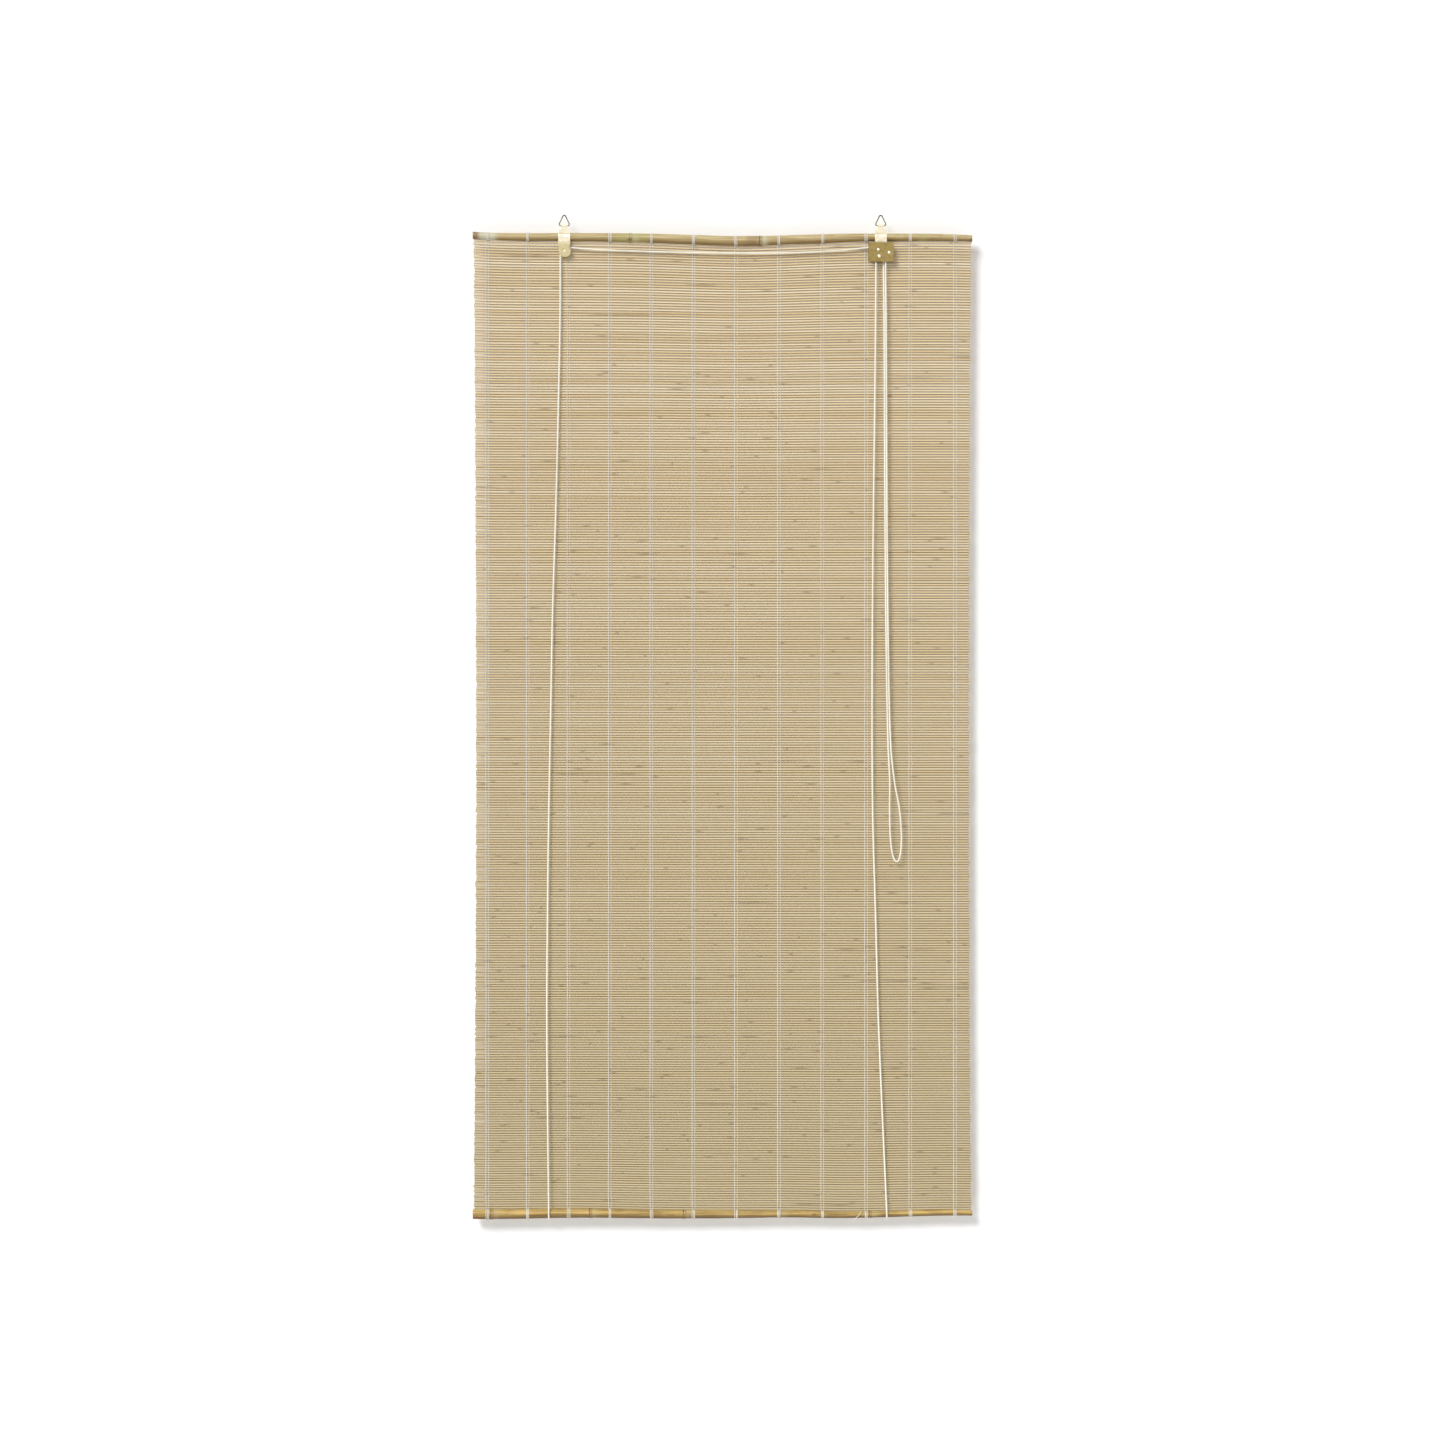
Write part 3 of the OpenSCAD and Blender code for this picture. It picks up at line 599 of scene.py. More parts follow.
def run_nodes(name, build, inputs, material):
    """The plain mesh that a geometry tree makes with the given named inputs."""
    group = bpy.data.node_groups.new(name, "GeometryNodeTree")
    sockets = {}
    for label, value in inputs.items():
        kind = "NodeSocketInt" if isinstance(value, int) else "NodeSocketFloat"
        sockets[label] = group.interface.new_socket(name=label, in_out="INPUT", socket_type=kind)
    group.interface.new_socket(name="Geometry", in_out="OUTPUT", socket_type="NodeSocketGeometry")
    tree = Tree(group)
    entry = group.nodes.new("NodeGroupInput")
    values = {label: Field(tree, entry.outputs[label]) for label in inputs}
    solid = tree.add("GeometryNodeRealizeInstances", None, {0: build(tree, values)})
    solid = tree.add("GeometryNodeSetMaterial", None, {"Geometry": solid, "Material": material})
    leave = group.nodes.new("NodeGroupOutput")
    tree.join(leave.inputs[0], solid)
    holder = bpy.data.objects.new(name, bpy.data.meshes.new(name))
    bpy.context.scene.collection.objects.link(holder)
    modifier = holder.modifiers.new(name, "NODES")
    modifier.node_group = group
    for label, value in inputs.items():
        modifier[sockets[label].identifier] = value
    graph = bpy.context.evaluated_depsgraph_get()
    mesh = bpy.data.meshes.new_from_object(holder.evaluated_get(graph))
    holder.modifiers.remove(modifier)
    bpy.data.objects.remove(holder)
    mesh.name = name
    if not mesh.polygons:
        raise RuntimeError(f"{name} came out empty")
    smooth(mesh)
    return mesh


def chance(tree, low, high, index, seed):
    """A number for each index, always the same for the same seed."""
    node = tree.nodes.nodes.new("FunctionNodeRandomValue")
    node.data_type = "FLOAT"
    for name, value in (("Min", low), ("Max", high), ("ID", index), ("Seed", seed)):
        tree.join(tree.found(node.inputs, name), value)
    return Field(tree, next(s for s in node.outputs if s.enabled))


def points_at(tree, count, place):
    """Points, each at its own place."""
    line = tree.add("GeometryNodeMeshLine", {"mode": "OFFSET"}, {"Count": count})
    return tree.add("GeometryNodeSetPosition", None, {"Geometry": line, "Position": place})


def stored(tree, geometry, name, value):
    return tree.add("GeometryNodeStoreNamedAttribute", {"data_type": "FLOAT", "domain": "INSTANCE"},
                    {"Geometry": geometry, "Name": name, "Value": value})


def squash_with_lift(piece, anchor_z, low_z):
    """Gives the piece a mesh of its own; it does not shorten as the bottom rail rises."""
    keep = 1 - TRAVEL / (anchor_z - low_z)
    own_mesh(piece)


# The mat
def row_place(tree, row, count):
    """Height of a stick, how far it stands back, and its own drift number."""
    nudge = chance(tree, -0.16 * MM, 0.16 * MM, row, SEED_NUDGE)
    depth = chance(tree, -0.12 * MM, 0.12 * MM, row, SEED_DEPTH)
    return row_height(row / (count - 1)) + nudge, depth, chance(tree, 0.0, 1.0, row, SEED_DRIFT)


def stick_bend(tree, x, z, drift):
    """How a stick bends in and out and up and down along its length."""
    bends_per_metre, ripple_depth, wave_height = 5, 0.8 * MM, 0.6 * MM
    along = x * bends_per_metre + drift * 30
    wave = noise(tree, tree.vector(along, drift * 57, 0.0), 1.0, 1.0) - 0.5
    ripple = noise(tree, tree.vector(along, drift * 57 + 9, 4.0), 1.0, 1.0) - 0.5
    return tree.vector(0.0, ripple * ripple_depth, mat_sag(x, z) + wave * wave_height)


def build_sticks(tree, given):
    """Sticks laid one below the other, each of its own height, length, tone and small wave."""
    count = given["Sticks"]
    row = tree.add("GeometryNodeInputIndex")
    z, depth, drift = row_place(tree, row, count)
    place = tree.vector(chance(tree, -0.8 * MM, 0.8 * MM, row, SEED_SHIFT), depth, z)
    line = points_at(tree, count, place)
    segments, sides, cap_x = 26, 8, 0.499
    rod = tree.add("GeometryNodeMeshCylinder", {"fill_type": "NGON"},
                   {"Vertices": sides, "Side Segments": segments, "Radius": 0.5, "Depth": 1.0}, "Mesh")
    rod = tree.add("GeometryNodeTransform", None,
                   {"Geometry": rod, "Rotation": (0.0, math.radians(90), 0.0)})
    rx, ry, rz = tree.split(tree.add("GeometryNodeInputPosition"))
    # The sawn ends are split off, so that their flat faces don't shade the side
    rod = tree.add("GeometryNodeSplitEdges", None, {"Mesh": rod, "Selection": rx.magnitude().above(cap_x)})
    # edge grows from a stick's middle line to its upper and lower sides, and drives the painted shade between
    # sticks
    rod = tree.add("GeometryNodeStoreNamedAttribute", {"data_type": "FLOAT", "domain": "POINT"},
                   {"Geometry": rod, "Name": "edge", "Value": rz.magnitude() * 2})
    share = (row + 0.5) / count
    waist = given["Waist"] * share * (1 - share) * 4
    length = (1 - waist) * given["Length"] + chance(tree, -1.6 * MM, 0.2 * MM, row, SEED_LENGTH)
    tall = given["Height"] * chance(tree, 0.88, 1.06, row, SEED_TALL)
    deep = given["Depth"] * chance(tree, 0.8, 1.1, row, SEED_DEEP)
    sticks = tree.add("GeometryNodeInstanceOnPoints", None,
                      {"Points": line, "Instance": rod, "Scale": tree.vector(length, deep, tall)})
    sticks = stored(tree, sticks, "tone", chance(tree, 0.0, 1.0, row, SEED_TONE))
    sticks = stored(tree, sticks, "drift", drift)
    sticks = tree.add("GeometryNodeRealizeInstances", None, {0: sticks})
    x, y, z = tree.split(tree.add("GeometryNodeInputPosition"))
    drift = tree.add("GeometryNodeInputNamedAttribute", {"data_type": "FLOAT"}, {"Name": "drift"},
                     "Attribute")
    return tree.add("GeometryNodeSetPosition", None,
                    {"Geometry": sticks, "Offset": stick_bend(tree, x, z, drift)})


def column_x(column, columns):
    """Place of a column of warp thread; the spacing changes a little across the blind."""
    first = -RAIL_HALF + 23.5 * MM
    last = RAIL_HALF - 27.5 * MM
    spread = 0.055
    t = column / (columns - 1)
    return (t * (1 - spread) + t * t * spread) * (last - first) + first


def build_threads(tree, given):
    """A short arch of thread over each stick at each strand."""
    columns, count = given["Columns"], given["Sticks"]
    index = tree.add("GeometryNodeInputIndex")
    strands = columns * 2
    row = (index / strands + ROUND_GUARD).floor()
    strand = index - row * strands
    column = (strand / 2 + ROUND_GUARD).floor()
    side = strand - column * 2
    z, depth, drift = row_place(tree, row, count)
    sway = noise(tree, tree.vector(z * 14, column * 3.7, side * 5), 1.0, 2.0) - 0.5
    x = column_x(column, columns) + (side - 0.5) * given["Gap"] + sway * (1.2 * MM)
    place = tree.add("ShaderNodeVectorMath", {"operation": "ADD"},
                     {0: tree.vector(x, depth, z), 1: stick_bend(tree, x, z, drift)})
    line = points_at(tree, count * strands, place)
    stitch = tree.add("GeometryNodeMeshCylinder", {"fill_type": "NONE"},
                      {"Vertices": 4, "Side Segments": 2, "Radius": given["Thread"] / 2,
                       "Depth": given["Pitch"] * 1.1}, "Mesh")
    sx, sy, sz = tree.split(tree.add("GeometryNodeInputPosition"))
    rise = given["Depth"] / 2 + given["Thread"] * 0.3
    ends = (sz / given["Pitch"] * 2) ** 2.0
    arch = (1 - ends * 0.3) * rise * given["Face"]
    stitch = tree.add("GeometryNodeSetPosition", None,
                      {"Geometry": stitch, "Offset": tree.vector(0.0, arch, 0.0)})
    thin = 1 - side * 0.3
    slant = chance(tree, -0.16, 0.16, index, SEED_SLANT)
    return tree.add("GeometryNodeInstanceOnPoints", None,
                    {"Points": line, "Instance": stitch, "Scale": tree.vector(thin, 1.0, 1.0),
                     "Rotation": tree.vector(0.0, slant, 0.0)})


class BLIND_OT_mat(bpy.types.Operator):
    """Lay the sticks of the mat and weave the warp threads over both of its faces"""

    bl_idname = "blind.mat"
    bl_label = "Stick mat"

    def execute(self, context):
        s = sizes()
        overhang = 3 * MM
        given = {
            "Sticks": s.stick_count,
            "Length": MAT_HIGH[0] - MAT_LOW[0] + overhang,
            "Height": s.stick_height,
            "Depth": s.stick_depth,
            "Waist": s.mat_waist,
        }
        mesh = run_nodes("stick_mat", build_sticks, given, finish("split_bamboo"))
        mat = show("stick_mat", mesh, "head", "bamboo_sticks", "slat_mat")
        squash_with_lift(mat, MAT_TOP_Z, MAT_LOW_Z)
        given = {
            "Sticks": s.stick_count,
            "Columns": s.columns,
            "Gap": s.strand_gap,
            "Thread": s.thread_d,
            "Depth": s.stick_depth,
            "Pitch": (FIRST_STICK_Z - LAST_STICK_Z) / s.stick_count,
        }
        for name, face in (("front_threads", -1.0), ("rear_threads", 1.0)):
            mesh = run_nodes(name, build_threads, {**given, "Face": face}, finish("warp_cotton"))
            piece = show(name, mesh, "head", "thread", "warp_threads")
            squash_with_lift(piece, MAT_TOP_Z, MAT_LOW_Z)
        return {"FINISHED"}


# The culms
def culm_rings(axis_z, radius, knuckles):
    """Rings along a culm: hollow sawn ends, knuckles, and a skin that isn't quite round."""
    wall, hollow, sides, step, rim_length = 2.2 * MM, 9 * MM, 40, 3.2 * MM, 0.8 * MM
    beside_knuckle = (-3.4, -2.4, -1.7, -1, -0.4, 0.4, 1, 1.7, 2.4, 3.4)
    stops = [-RAIL_HALF + k * step for k in range(int(2 * RAIL_HALF / step) + 1)]
    stops += [at + d * MM for at in knuckles for d in beside_knuckle]
    stops = sorted(x for x in stops if abs(x) < RAIL_HALF - rim_length)

    def ring(x, inset, lumps):
        points = []
        for j in range(sides):
            angle = 2 * math.pi * j / sides
            y, z = math.cos(angle), math.sin(angle)
            lump = lumps * math_noise.noise(Vector((x * 16, y * 0.8, z * 0.8))) * 0.35 * MM
            r = radius(x) - inset + lump
            points.append((x, y * r, axis_z(x) + z * r))
        return points

    def skin(x):
        ridge = sum(KNUCKLE_H * (bell(x, at - 1.2 * MM, 1.1 * MM) * 0.8 + bell(x, at + 1.7 * MM, 1.3 * MM))
                    - 0.35 * MM * bell(x, at, 0.5 * MM) for at in knuckles)
        return ring(x, -ridge, 1.0)

    end, rim = RAIL_HALF, 0.5 * MM
    left = [ring(-end + hollow, wall, 0), ring(-end, wall, 0), ring(-end, rim, 0), ring(-end + rim, 0.0, 0.5)]
    right = [ring(end - rim, 0.0, 0.5), ring(end, rim, 0), ring(end, wall, 0), ring(end - hollow, wall, 0)]
    return left + [skin(x) for x in stops] + right


class BLIND_OT_rails(bpy.types.Operator):
    """Shape the two bamboo culms that the mat is tied to"""

    bl_idname = "blind.rails"
    bl_label = "Culms"

    def execute(self, context):
        rings = culm_rings(rail_axis_z, top_rail_r, TOP_KNUCKLES)
        mesh = tube_mesh("top_culm", rings, finish("top_culm_skin"))
        show("top_culm", mesh, "head", "top_bamboo", "top_rail")
        rings = culm_rings(bar_axis_z, bar_r, BAR_KNUCKLES)
        mesh = tube_mesh("bottom_culm", rings, finish("bar_culm_skin"))
        show("bottom_culm", mesh, "bottom_bar", "bottom_bamboo", "bottom_rail")
        return {"FINISHED"}


# The ties
def build_ties(tree, given):
    """Turns of thread round a rail at each column, a little askew."""
    columns, turns = given["Columns"], given["Turns"]
    index = tree.add("GeometryNodeInputIndex")
    column = (index / turns + ROUND_GUARD).floor()
    turn = index - column * turns
    x = column_x(column, columns) + (turn - (turns - 1) / 2) * given["Thread"] * 1.5
    x = x + chance(tree, -0.3 * MM, 0.3 * MM, index, given["Seed"])
    on_top = given["On top"]
    radius = top_rail_r(x) * on_top + bar_r(x) * (1 - on_top) + given["Thread"] * 0.3
    z = rail_axis_z(x) * on_top + bar_axis_z(x) * (1 - on_top)
    line = points_at(tree, columns * turns, tree.vector(x, 0.0, z))
    hoop = tree.add("GeometryNodeCurvePrimitiveCircle", {"mode": "RADIUS"},
                    {"Resolution": 32, "Radius": 1.0})
    lean = chance(tree, -0.1, 0.1, index, given["Seed"] + 1)
    hoops = tree.add("GeometryNodeInstanceOnPoints", None,
                     {"Points": line, "Instance": hoop, "Scale": tree.vector(radius, radius, radius),
                      "Rotation": tree.vector(0.0, math.radians(90), lean)})
    hoops = tree.add("GeometryNodeRealizeInstances", None, {0: hoops})
    hoops = tree.add("GeometryNodeSetCurveRadius", None, {"Curve": hoops, "Radius": 1.0})
    round_thread = tree.add("GeometryNodeCurvePrimitiveCircle", {"mode": "RADIUS"},
                            {"Resolution": 6, "Radius": given["Thread"] / 2})
    return tree.add("GeometryNodeCurveToMesh", None, {"Curve": hoops, "Profile Curve": round_thread})


def build_knots(tree, given):
    """A knot below the bottom rail at each column, with a cut end."""
    columns = given["Columns"]
    index = tree.add("GeometryNodeInputIndex")
    x = column_x(index, columns) + chance(tree, -1 * MM, 1 * MM, index, SEED_KNOT_X)
    y = chance(tree, -2.5 * MM, -0.5 * MM, index, SEED_KNOT_Y)
    place = tree.vector(x, y, bar_axis_z(x) - bar_r(x) - given["Thread"] * 0.8)
    line = points_at(tree, columns, place)
    lump = tree.add("GeometryNodeMeshIcoSphere", None, {"Radius": given["Thread"] * 0.95, "Subdivisions": 3})
    lx, ly, lz = tree.split(tree.add("GeometryNodeInputPosition"))
    twist = (lx * 3200 + lz * 2600).sin() * (0.16 * MM)
    lump = tree.add("GeometryNodeSetPosition", None,
                    {"Geometry": lump, "Offset": tree.vector(0.0, twist, 0.0)})
    end_length, end_drop = 4.5 * MM, -2 * MM
    end = tree.add("GeometryNodeMeshCylinder", {"fill_type": "NGON"},
                   {"Vertices": 8, "Side Segments": 3, "Radius": given["Thread"] * 0.4,
                    "Depth": end_length}, "Mesh")
    end = tree.add("GeometryNodeTransform", None, {"Geometry": end, "Translation": (0.0, 0.0, end_drop)})
    knots = tree.add("GeometryNodeInstanceOnPoints", None, {"Points": line, "Instance": lump})
    pitch = chance(tree, -0.6, 0.2, index, SEED_END_PITCH)
    lean = tree.vector(pitch, chance(tree, -0.9, 0.9, index, SEED_END_ROLL), 0.0)
    ends = tree.add("GeometryNodeInstanceOnPoints", None, {"Points": line, "Instance": end, "Rotation": lean})
    both = tree.nodes.nodes.new("GeometryNodeJoinGeometry")
    for geometry in (knots, ends):
        tree.nodes.links.new(geometry.socket, both.inputs[0])
    return Field(tree, both.outputs[0])


# The loose end of one tie, in millimetres
LOOSE_THREAD = [
    (222, -6.2, -1594), (219, -7.4, -1599), (214, -7.2, -1604), (210.5, -6.4, -1609), (208, -6, -1612)]


class BLIND_OT_ties(bpy.types.Operator):
    """Tie the warp threads to the two culms"""

    bl_idname = "blind.ties"
    bl_label = "Ties"

    def execute(self, context):
        s = sizes()
        cotton = finish("warp_cotton")
        given = {"Columns": s.columns, "Turns": s.tie_turns, "Thread": s.thread_d}
        rails = (
            ("top_wraps", 1.0, SEED_TOP_TIES, "head", "top_ties"),
            ("bottom_wraps", 0.0, SEED_BOTTOM_TIES, "bottom_bar", "bottom_ties"))
        for name, on_top, seed, body, node in rails:
            mesh = run_nodes(name, build_ties, {**given, "On top": on_top, "Seed": seed}, cotton)
            show(name, mesh, body, "thread", node)
        given = {"Columns": s.columns, "Thread": s.thread_d}
        mesh = run_nodes("tie_knots", build_knots, given, cotton)
        show("tie_knots", mesh, "bottom_bar", "thread", "bottom_ties")
        mesh, _ = rope("loose_thread", LOOSE_THREAD, s.thread_d, THREAD_STEP, "warp_cotton")
        show("loose_thread", mesh, "bottom_bar", "thread", "bottom_ties")
        return {"FINISHED"}


# Length of one ring of mesh along a cord and along a thread
CORD_STEP = 1.6 * MM
THREAD_STEP = 0.8 * MM

# Each wheel's groove in millimetres: its middle in X and Z, the radius of the cord's path and its place in Y
LEFT_GROOVE = (-252.3, -57.27, 7.2, -5.6)
LOCK_REAR_GROOVE = (249.4, -55.16, 6, -5.15)
LOCK_FRONT_GROOVE = (249.4, -55.16, 6, -9.65)

# The cords, in millimetres as the part has them
LEFT_TOP = (-259.5, -5.6, -57.27)
RIGHT_TOP = (245.5, -9.65, -74.36)
PULL_FROM = (257.9, -5.15, -74.36)
PULL_BACK = (261, -9.65, -74.36)
DROP_END = -1597.7
LEFT_FOOT = (-278, 9.378)
RIGHT_FOOT = (263, 6.842)
LEFT_KNOT = (-253.5, 11.82, -33.57)
RIGHT_KNOT = (253.5, 11.64, -33.96)
LEFT_FRONT = [
    (-260, -6, -170), (-263, -6, -320), (-267, -6, -480), (-272, -6.5, -640),
    (-275, -6.5, -800), (-278, -7, -960), (-280, -7.5, -1120), (-281, -8, -1300)]
RIGHT_FRONT = [
    (245, -9, -170), (243.5, -8.5, -320), (241.5, -8, -480), (240, -8, -640),
    (239.5, -7.5, -800), (240.5, -7.5, -960), (245, -7, -1120), (250, -7, -1300)]
CROSS = [(-215, -5.5, -53.5), (-120, -5.5, -57.5), (20, -5.5, -60), (110, -5.5, -59.5), (190, -5.5, -55.5)]
PULL_Y = -10.3
PULL_LOOP = [
    (258.3, -130), (258.8, -200), (259.6, -400), (261, -600), (263, -760), (265, -850), (267.5, -905),
    (267.3, -950), (268.2, -990), (270.6, -1015), (274.2, -1029), (278.7, -1034), (282.8, -1029),
    (285.4, -1015), (286.2, -990), (283, -950), (275, -905), (269.4, -850), (266.4, -760),
    (264.2, -600), (262.8, -400), (262, -200), (261.5, -130)]
PULL = [(257.9, -6.5, -90)] + [(x, PULL_Y, z) for x, z in PULL_LOOP] + [(261, -9.9, -90)]


def arc(centre_x, centre_z, radius, y, start, end):
    """Points round a pulley, the angles in degrees."""
    steps = 14
    turns = [math.radians(start + (end - start) * k / steps) for k in range(steps + 1)]
    return [(centre_x + radius * math.cos(a), y, centre_z + radius * math.sin(a)) for a in turns]


def eased_route(points, step):
    """A smooth line through points, in metres, with its points a step apart."""
    knots = [Vector(p) * MM for p in points]
    padded = [knots[0] * 2 - knots[1]] + knots + [knots[-1] * 2 - knots[-2]]
    fine = [knots[0]]
    for a, b, c, d in zip(padded, padded[1:], padded[2:], padded[3:]):
        reach = (c - b).length
        inward = (c - a) / ((c - a).length or 1) * reach
        outward = (d - b) / ((d - b).length or 1) * reach
        parts = max(2, int(reach / step))
        for k in range(1, parts + 1):
            t = k / parts
            fine.append(b * (2 * t ** 3 - 3 * t * t + 1) + inward * (t ** 3 - 2 * t * t + t)
                        + c * (3 * t * t - 2 * t ** 3) + outward * (t ** 3 - t * t))
    return fine


def rope(name, points, thick, step, finish_name):
    """A laid cord of three strands along a route, and the route's own points."""
    path = eased_route(points, step)
    lay = thick / sizes().cord_d * sizes().cord_lay
    sides, strands, groove = 12, 3, 0.09
    rings = []
    aside = None
    run = 0.0
    for k, here in enumerate(path):
        ahead = (path[min(k + 1, len(path) - 1)] - path[max(k - 1, 0)]).normalized()
        if aside is None:
            aside = ahead.orthogonal()
        aside = (aside - ahead * aside.dot(ahead)).normalized()
        other = ahead.cross(aside)
        run += (here - path[max(k - 1, 0)]).length
        turn = 2 * math.pi * run / lay
        ring = []
        for j in range(sides):
            angle = 2 * math.pi * j / sides
            r = thick / 2 * (1 - groove + groove * math.cos(strands * (angle - turn)))
            ring.append(here + aside * (math.cos(angle) * r) + other * (math.sin(angle) * r))
        rings.append(ring)
    return tube_mesh(name, rings, finish(finish_name)), path


def knot_points(centre):
    """A tight overhand turn of cord, in millimetres."""
    steps, open_steps, size = 60, 2, 0.72
    turns = [2 * math.pi * k / steps for k in range(steps - open_steps)]
    x, y, z = centre
    return [(x + size * (math.sin(t) + 2 * math.sin(2 * t)), y - size * math.sin(3 * t),
             z + size * (math.cos(t) - 2 * math.cos(2 * t))) for t in turns]


class BLIND_OT_cords(bpy.types.Operator):
    """Run the lift cord over the pulleys, round the blind and down to its pull loop"""

    bl_idname = "blind.cords"
    bl_label = "Cords"

    def laid(self, name, points):
        return rope(name, points, sizes().cord_d, CORD_STEP, "cord_cotton")

    def drop(self, name, points, node):
        mesh, path = self.laid(name, points)
        piece = show(name, mesh, "head", "white_cord", node)
        squash_with_lift(piece, path[0].z, DROP_END * MM)

    def still(self, name, points, body, node):
        mesh, _ = self.laid(name, points)
        show(name, mesh, body, "white_cord", node)

    def execute(self, context):
        mesh, path = self.laid("pull_loop", [PULL_FROM] + PULL + [PULL_BACK])
        loop = show("pull_loop", mesh, "head", "white_cord", "pull_cord")
        length = sum((b - a).length for a, b in zip(path, path[1:]))
        for side, top, route, foot, knot in (
                ("left", LEFT_TOP, LEFT_FRONT, LEFT_FOOT, LEFT_KNOT),
                ("right", RIGHT_TOP, RIGHT_FRONT, RIGHT_FOOT, RIGHT_KNOT)):
            x, reach = foot
            self.drop(f"{side}_front_cord", [top] + route + [(x, -reach, DROP_END)], f"{side}_lift_cord")
            self.drop(f"{side}_back_cord", [knot, (x, reach, DROP_END)], f"{side}_lift_cord")
            under = [(x, y, z) for y, _, z in arc(0, BAR_Z / MM, reach, 0, 180, 360)]
            self.still(f"{side}_under_cord", under, "bottom_bar", f"{side}_rail_bight")
            self.still(f"{side}_knot", knot_points(knot), "head", f"{side}_anchor_knot")
        cross = arc(*LEFT_GROOVE, 180, 95) + CROSS + arc(*LOCK_REAR_GROOVE, 110, 0)[1:] + [PULL_FROM]
        self.still("head_cord", cross, "head", "cross_cord")
        turn = [RIGHT_TOP] + arc(*LOCK_FRONT_GROOVE, 180, 0) + [PULL_BACK]
        self.still("lock_cord", turn, "head", "lock_turn_cord")
        return {"FINISHED"}


class BLIND_OT_fittings(bpy.types.Operator):
    """Plate the brackets, rivets, rings and tacks, and finish the wheels"""

    bl_idname = "blind.fittings"
    bl_label = "Fittings"

    def execute(self, context):
        finishes = {
            "pale_brass_plate": ("pulley_bracket", "lock_cam"),
            "dull_brass_plate": ("lock_bracket",),
            "ring_wire": ("left_hanging_ring", "right_hanging_ring"),
            "bright_plate": (
                "left_pulley_rivet", "lock_pulley_rivet", "lock_guide_post", "lock_cam_rivet",
                "left_tacks", "right_tacks"),
            "moulded_wheel": ("left_pulley", "lock_pulley"),
        }
        for name, nodes in finishes.items():
            for node in nodes:
                mesh = frame["nodes"][node].data
                mesh.materials.clear()
                mesh.materials.append(finish(name))
        return {"FINISHED"}


# The stage
def plane(name, corners, material):
    mesh = bpy.data.meshes.new(name)
    mesh.from_pydata(corners, [], [(0, 1, 2, 3)])
    mesh.materials.append(material)
    piece = bpy.data.objects.new(name, mesh)
    bpy.context.scene.collection.objects.link(piece)


def sun(name, toward, strength, angle):
    lamp = bpy.data.lights.new(name, "SUN")
    lamp.energy = strength
    lamp.angle = math.radians(angle)
    piece = bpy.data.objects.new(name, lamp)
    piece.rotation_euler = Vector(toward).to_track_quat("-Z", "Y").to_euler()
    bpy.context.scene.collection.objects.link(piece)


def wall_paint():
    """White paint that the camera sees from the front only, so that it hides nothing from behind."""
    material, tree, shader = new_material("white_wall")
    shader.inputs["Base Color"].default_value = (0.97, 0.97, 0.97, 1.0)
    shader.inputs["Roughness"].default_value = 1.0
    shader.inputs["Specular IOR Level"].default_value = 0.0
    behind = tree.add("ShaderNodeNewGeometry", None, None, "Backfacing")
    seen = tree.add("ShaderNodeLightPath", None, None, "Is Camera Ray") * (1 - behind)
    clear = tree.add("ShaderNodeBsdfTransparent")
    both = tree.add("ShaderNodeMixShader", None, {0: seen, 1: clear, 2: Field(tree, shader.outputs[0])})
    leave = material.node_tree.nodes["Material Output"]
    tree.join(leave.inputs["Surface"], both)
    return material


def white_world(fill):
    """A white surround: plain white where it is seen, and softer where it lights."""
    world = bpy.data.worlds.new("white_room")
    world.use_nodes = True
    tree = Tree(world.node_tree)
    paths = world.node_tree.nodes.new("ShaderNodeLightPath")
    seen = [Field(tree, paths.outputs[n]) for n in ("Is Camera Ray", "Is Glossy Ray", "Is Transmission Ray")]
    share = (seen[0] + seen[1] + seen[2]).at_most(1.0)
    back = world.node_tree.nodes["Background"]
    back.inputs["Color"].default_value = (1.0, 1.0, 1.0, 1.0)
    tree.join(back.inputs["Strength"], share * (1 - fill) + fill)
    bpy.context.scene.world = world


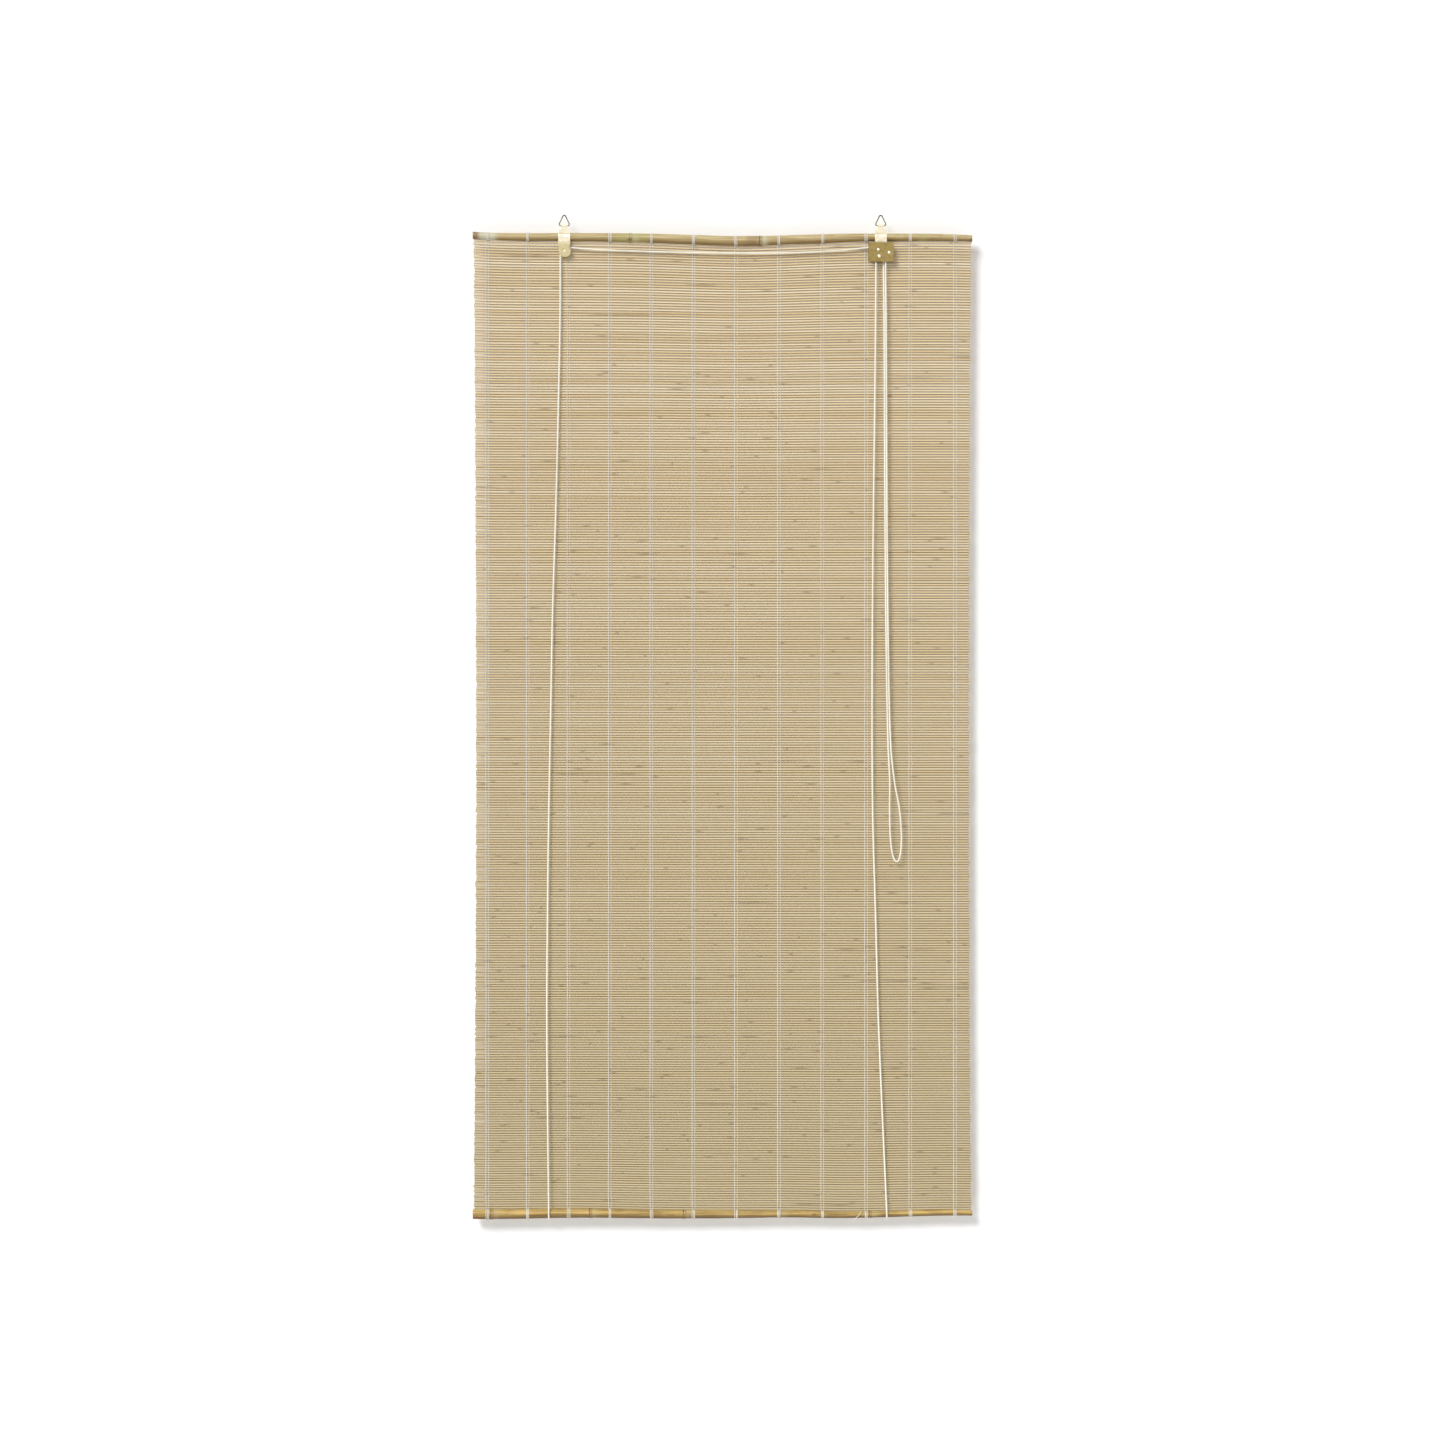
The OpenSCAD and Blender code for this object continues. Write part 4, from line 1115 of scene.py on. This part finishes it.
class BLIND_OT_stage(bpy.types.Operator):
    """Set the camera, the white wall, the floor and the lights"""

    bl_idname = "blind.stage"
    bl_label = "Stage"

    def execute(self, context):
        scene = context.scene
        photo_mm, photo_px = 1.602, 1440
        origin_px, middle_px = (722.5, 216), photo_px / 2
        right_px, down_px = middle_px - origin_px[0], middle_px - origin_px[1]
        centre = Vector((right_px * photo_mm * MM, 0.0, -down_px * photo_mm * MM))
        lens = bpy.data.cameras.new("front_camera")
        distance = 7.0
        lens.sensor_width = 36.0
        lens.lens = lens.sensor_width * distance / (photo_px * photo_mm * MM)
        camera = bpy.data.objects.new("front_camera", lens)
        camera.location = centre + Vector((0.0, -distance, 0.0))
        camera.rotation_euler = (math.radians(90), 0.0, 0.0)
        scene.collection.objects.link(camera)
        scene.camera = camera
        scene.view_settings.view_transform = "Standard"
        wide, wall_y, floor_z, high = 4.0, 0.022, -2.02, 2.0
        plane("wall", [(-wide, wall_y, floor_z), (wide, wall_y, floor_z), (wide, wall_y, high),
                       (-wide, wall_y, high)], wall_paint())
        paint, tree, shader = new_material("pale_floor")
        shader.inputs["Base Color"].default_value = (0.9, 0.9, 0.9, 1.0)
        shader.inputs["Roughness"].default_value = 0.9
        plane("floor", [(-wide, -wide, floor_z), (wide, -wide, floor_z), (wide, wide, floor_z),
                        (-wide, wide, floor_z)], paint)
        white_world(0.42)
        sun("key", (0.46, 0.72, -0.64), 2.65, 24)
        sun("back_fill", (-0.35, -0.8, -0.4), 1.5, 40)
        return {"FINISHED"}


class BLIND_PT_panel(bpy.types.Panel):
    """Sizes, colours and steps of the blind"""

    bl_label = "Bamboo blind"
    bl_idname = "BLIND_PT_panel"
    bl_space_type = "VIEW_3D"
    bl_region_type = "UI"
    bl_category = "Blind"

    def draw(self, context):
        for group in (context.scene.blind_sizes, context.scene.blind_colours):
            for name in group.__annotations__:
                self.layout.prop(group, name)
        for step in STEPS:
            self.layout.operator(step.bl_idname)


STEPS = (BLIND_OT_stage, BLIND_OT_cords, BLIND_OT_mat, BLIND_OT_rails, BLIND_OT_ties, BLIND_OT_fittings)
CLASSES = (BlindSizes, BlindColours) + STEPS + (BLIND_PT_panel,)


def register():
    for item in CLASSES:
        bpy.utils.register_class(item)
    bpy.types.Scene.blind_sizes = PointerProperty(type=BlindSizes)
    bpy.types.Scene.blind_colours = PointerProperty(type=BlindColours)


def unregister():
    del bpy.types.Scene.blind_colours
    del bpy.types.Scene.blind_sizes
    for item in reversed(CLASSES):
        bpy.utils.unregister_class(item)


def main():
    register()
    bpy.ops.blind.stage()
    bpy.ops.blind.cords()
    bpy.ops.blind.mat()
    bpy.ops.blind.rails()
    bpy.ops.blind.ties()
    bpy.ops.blind.fittings()


if __name__ == "__main__":
    main()
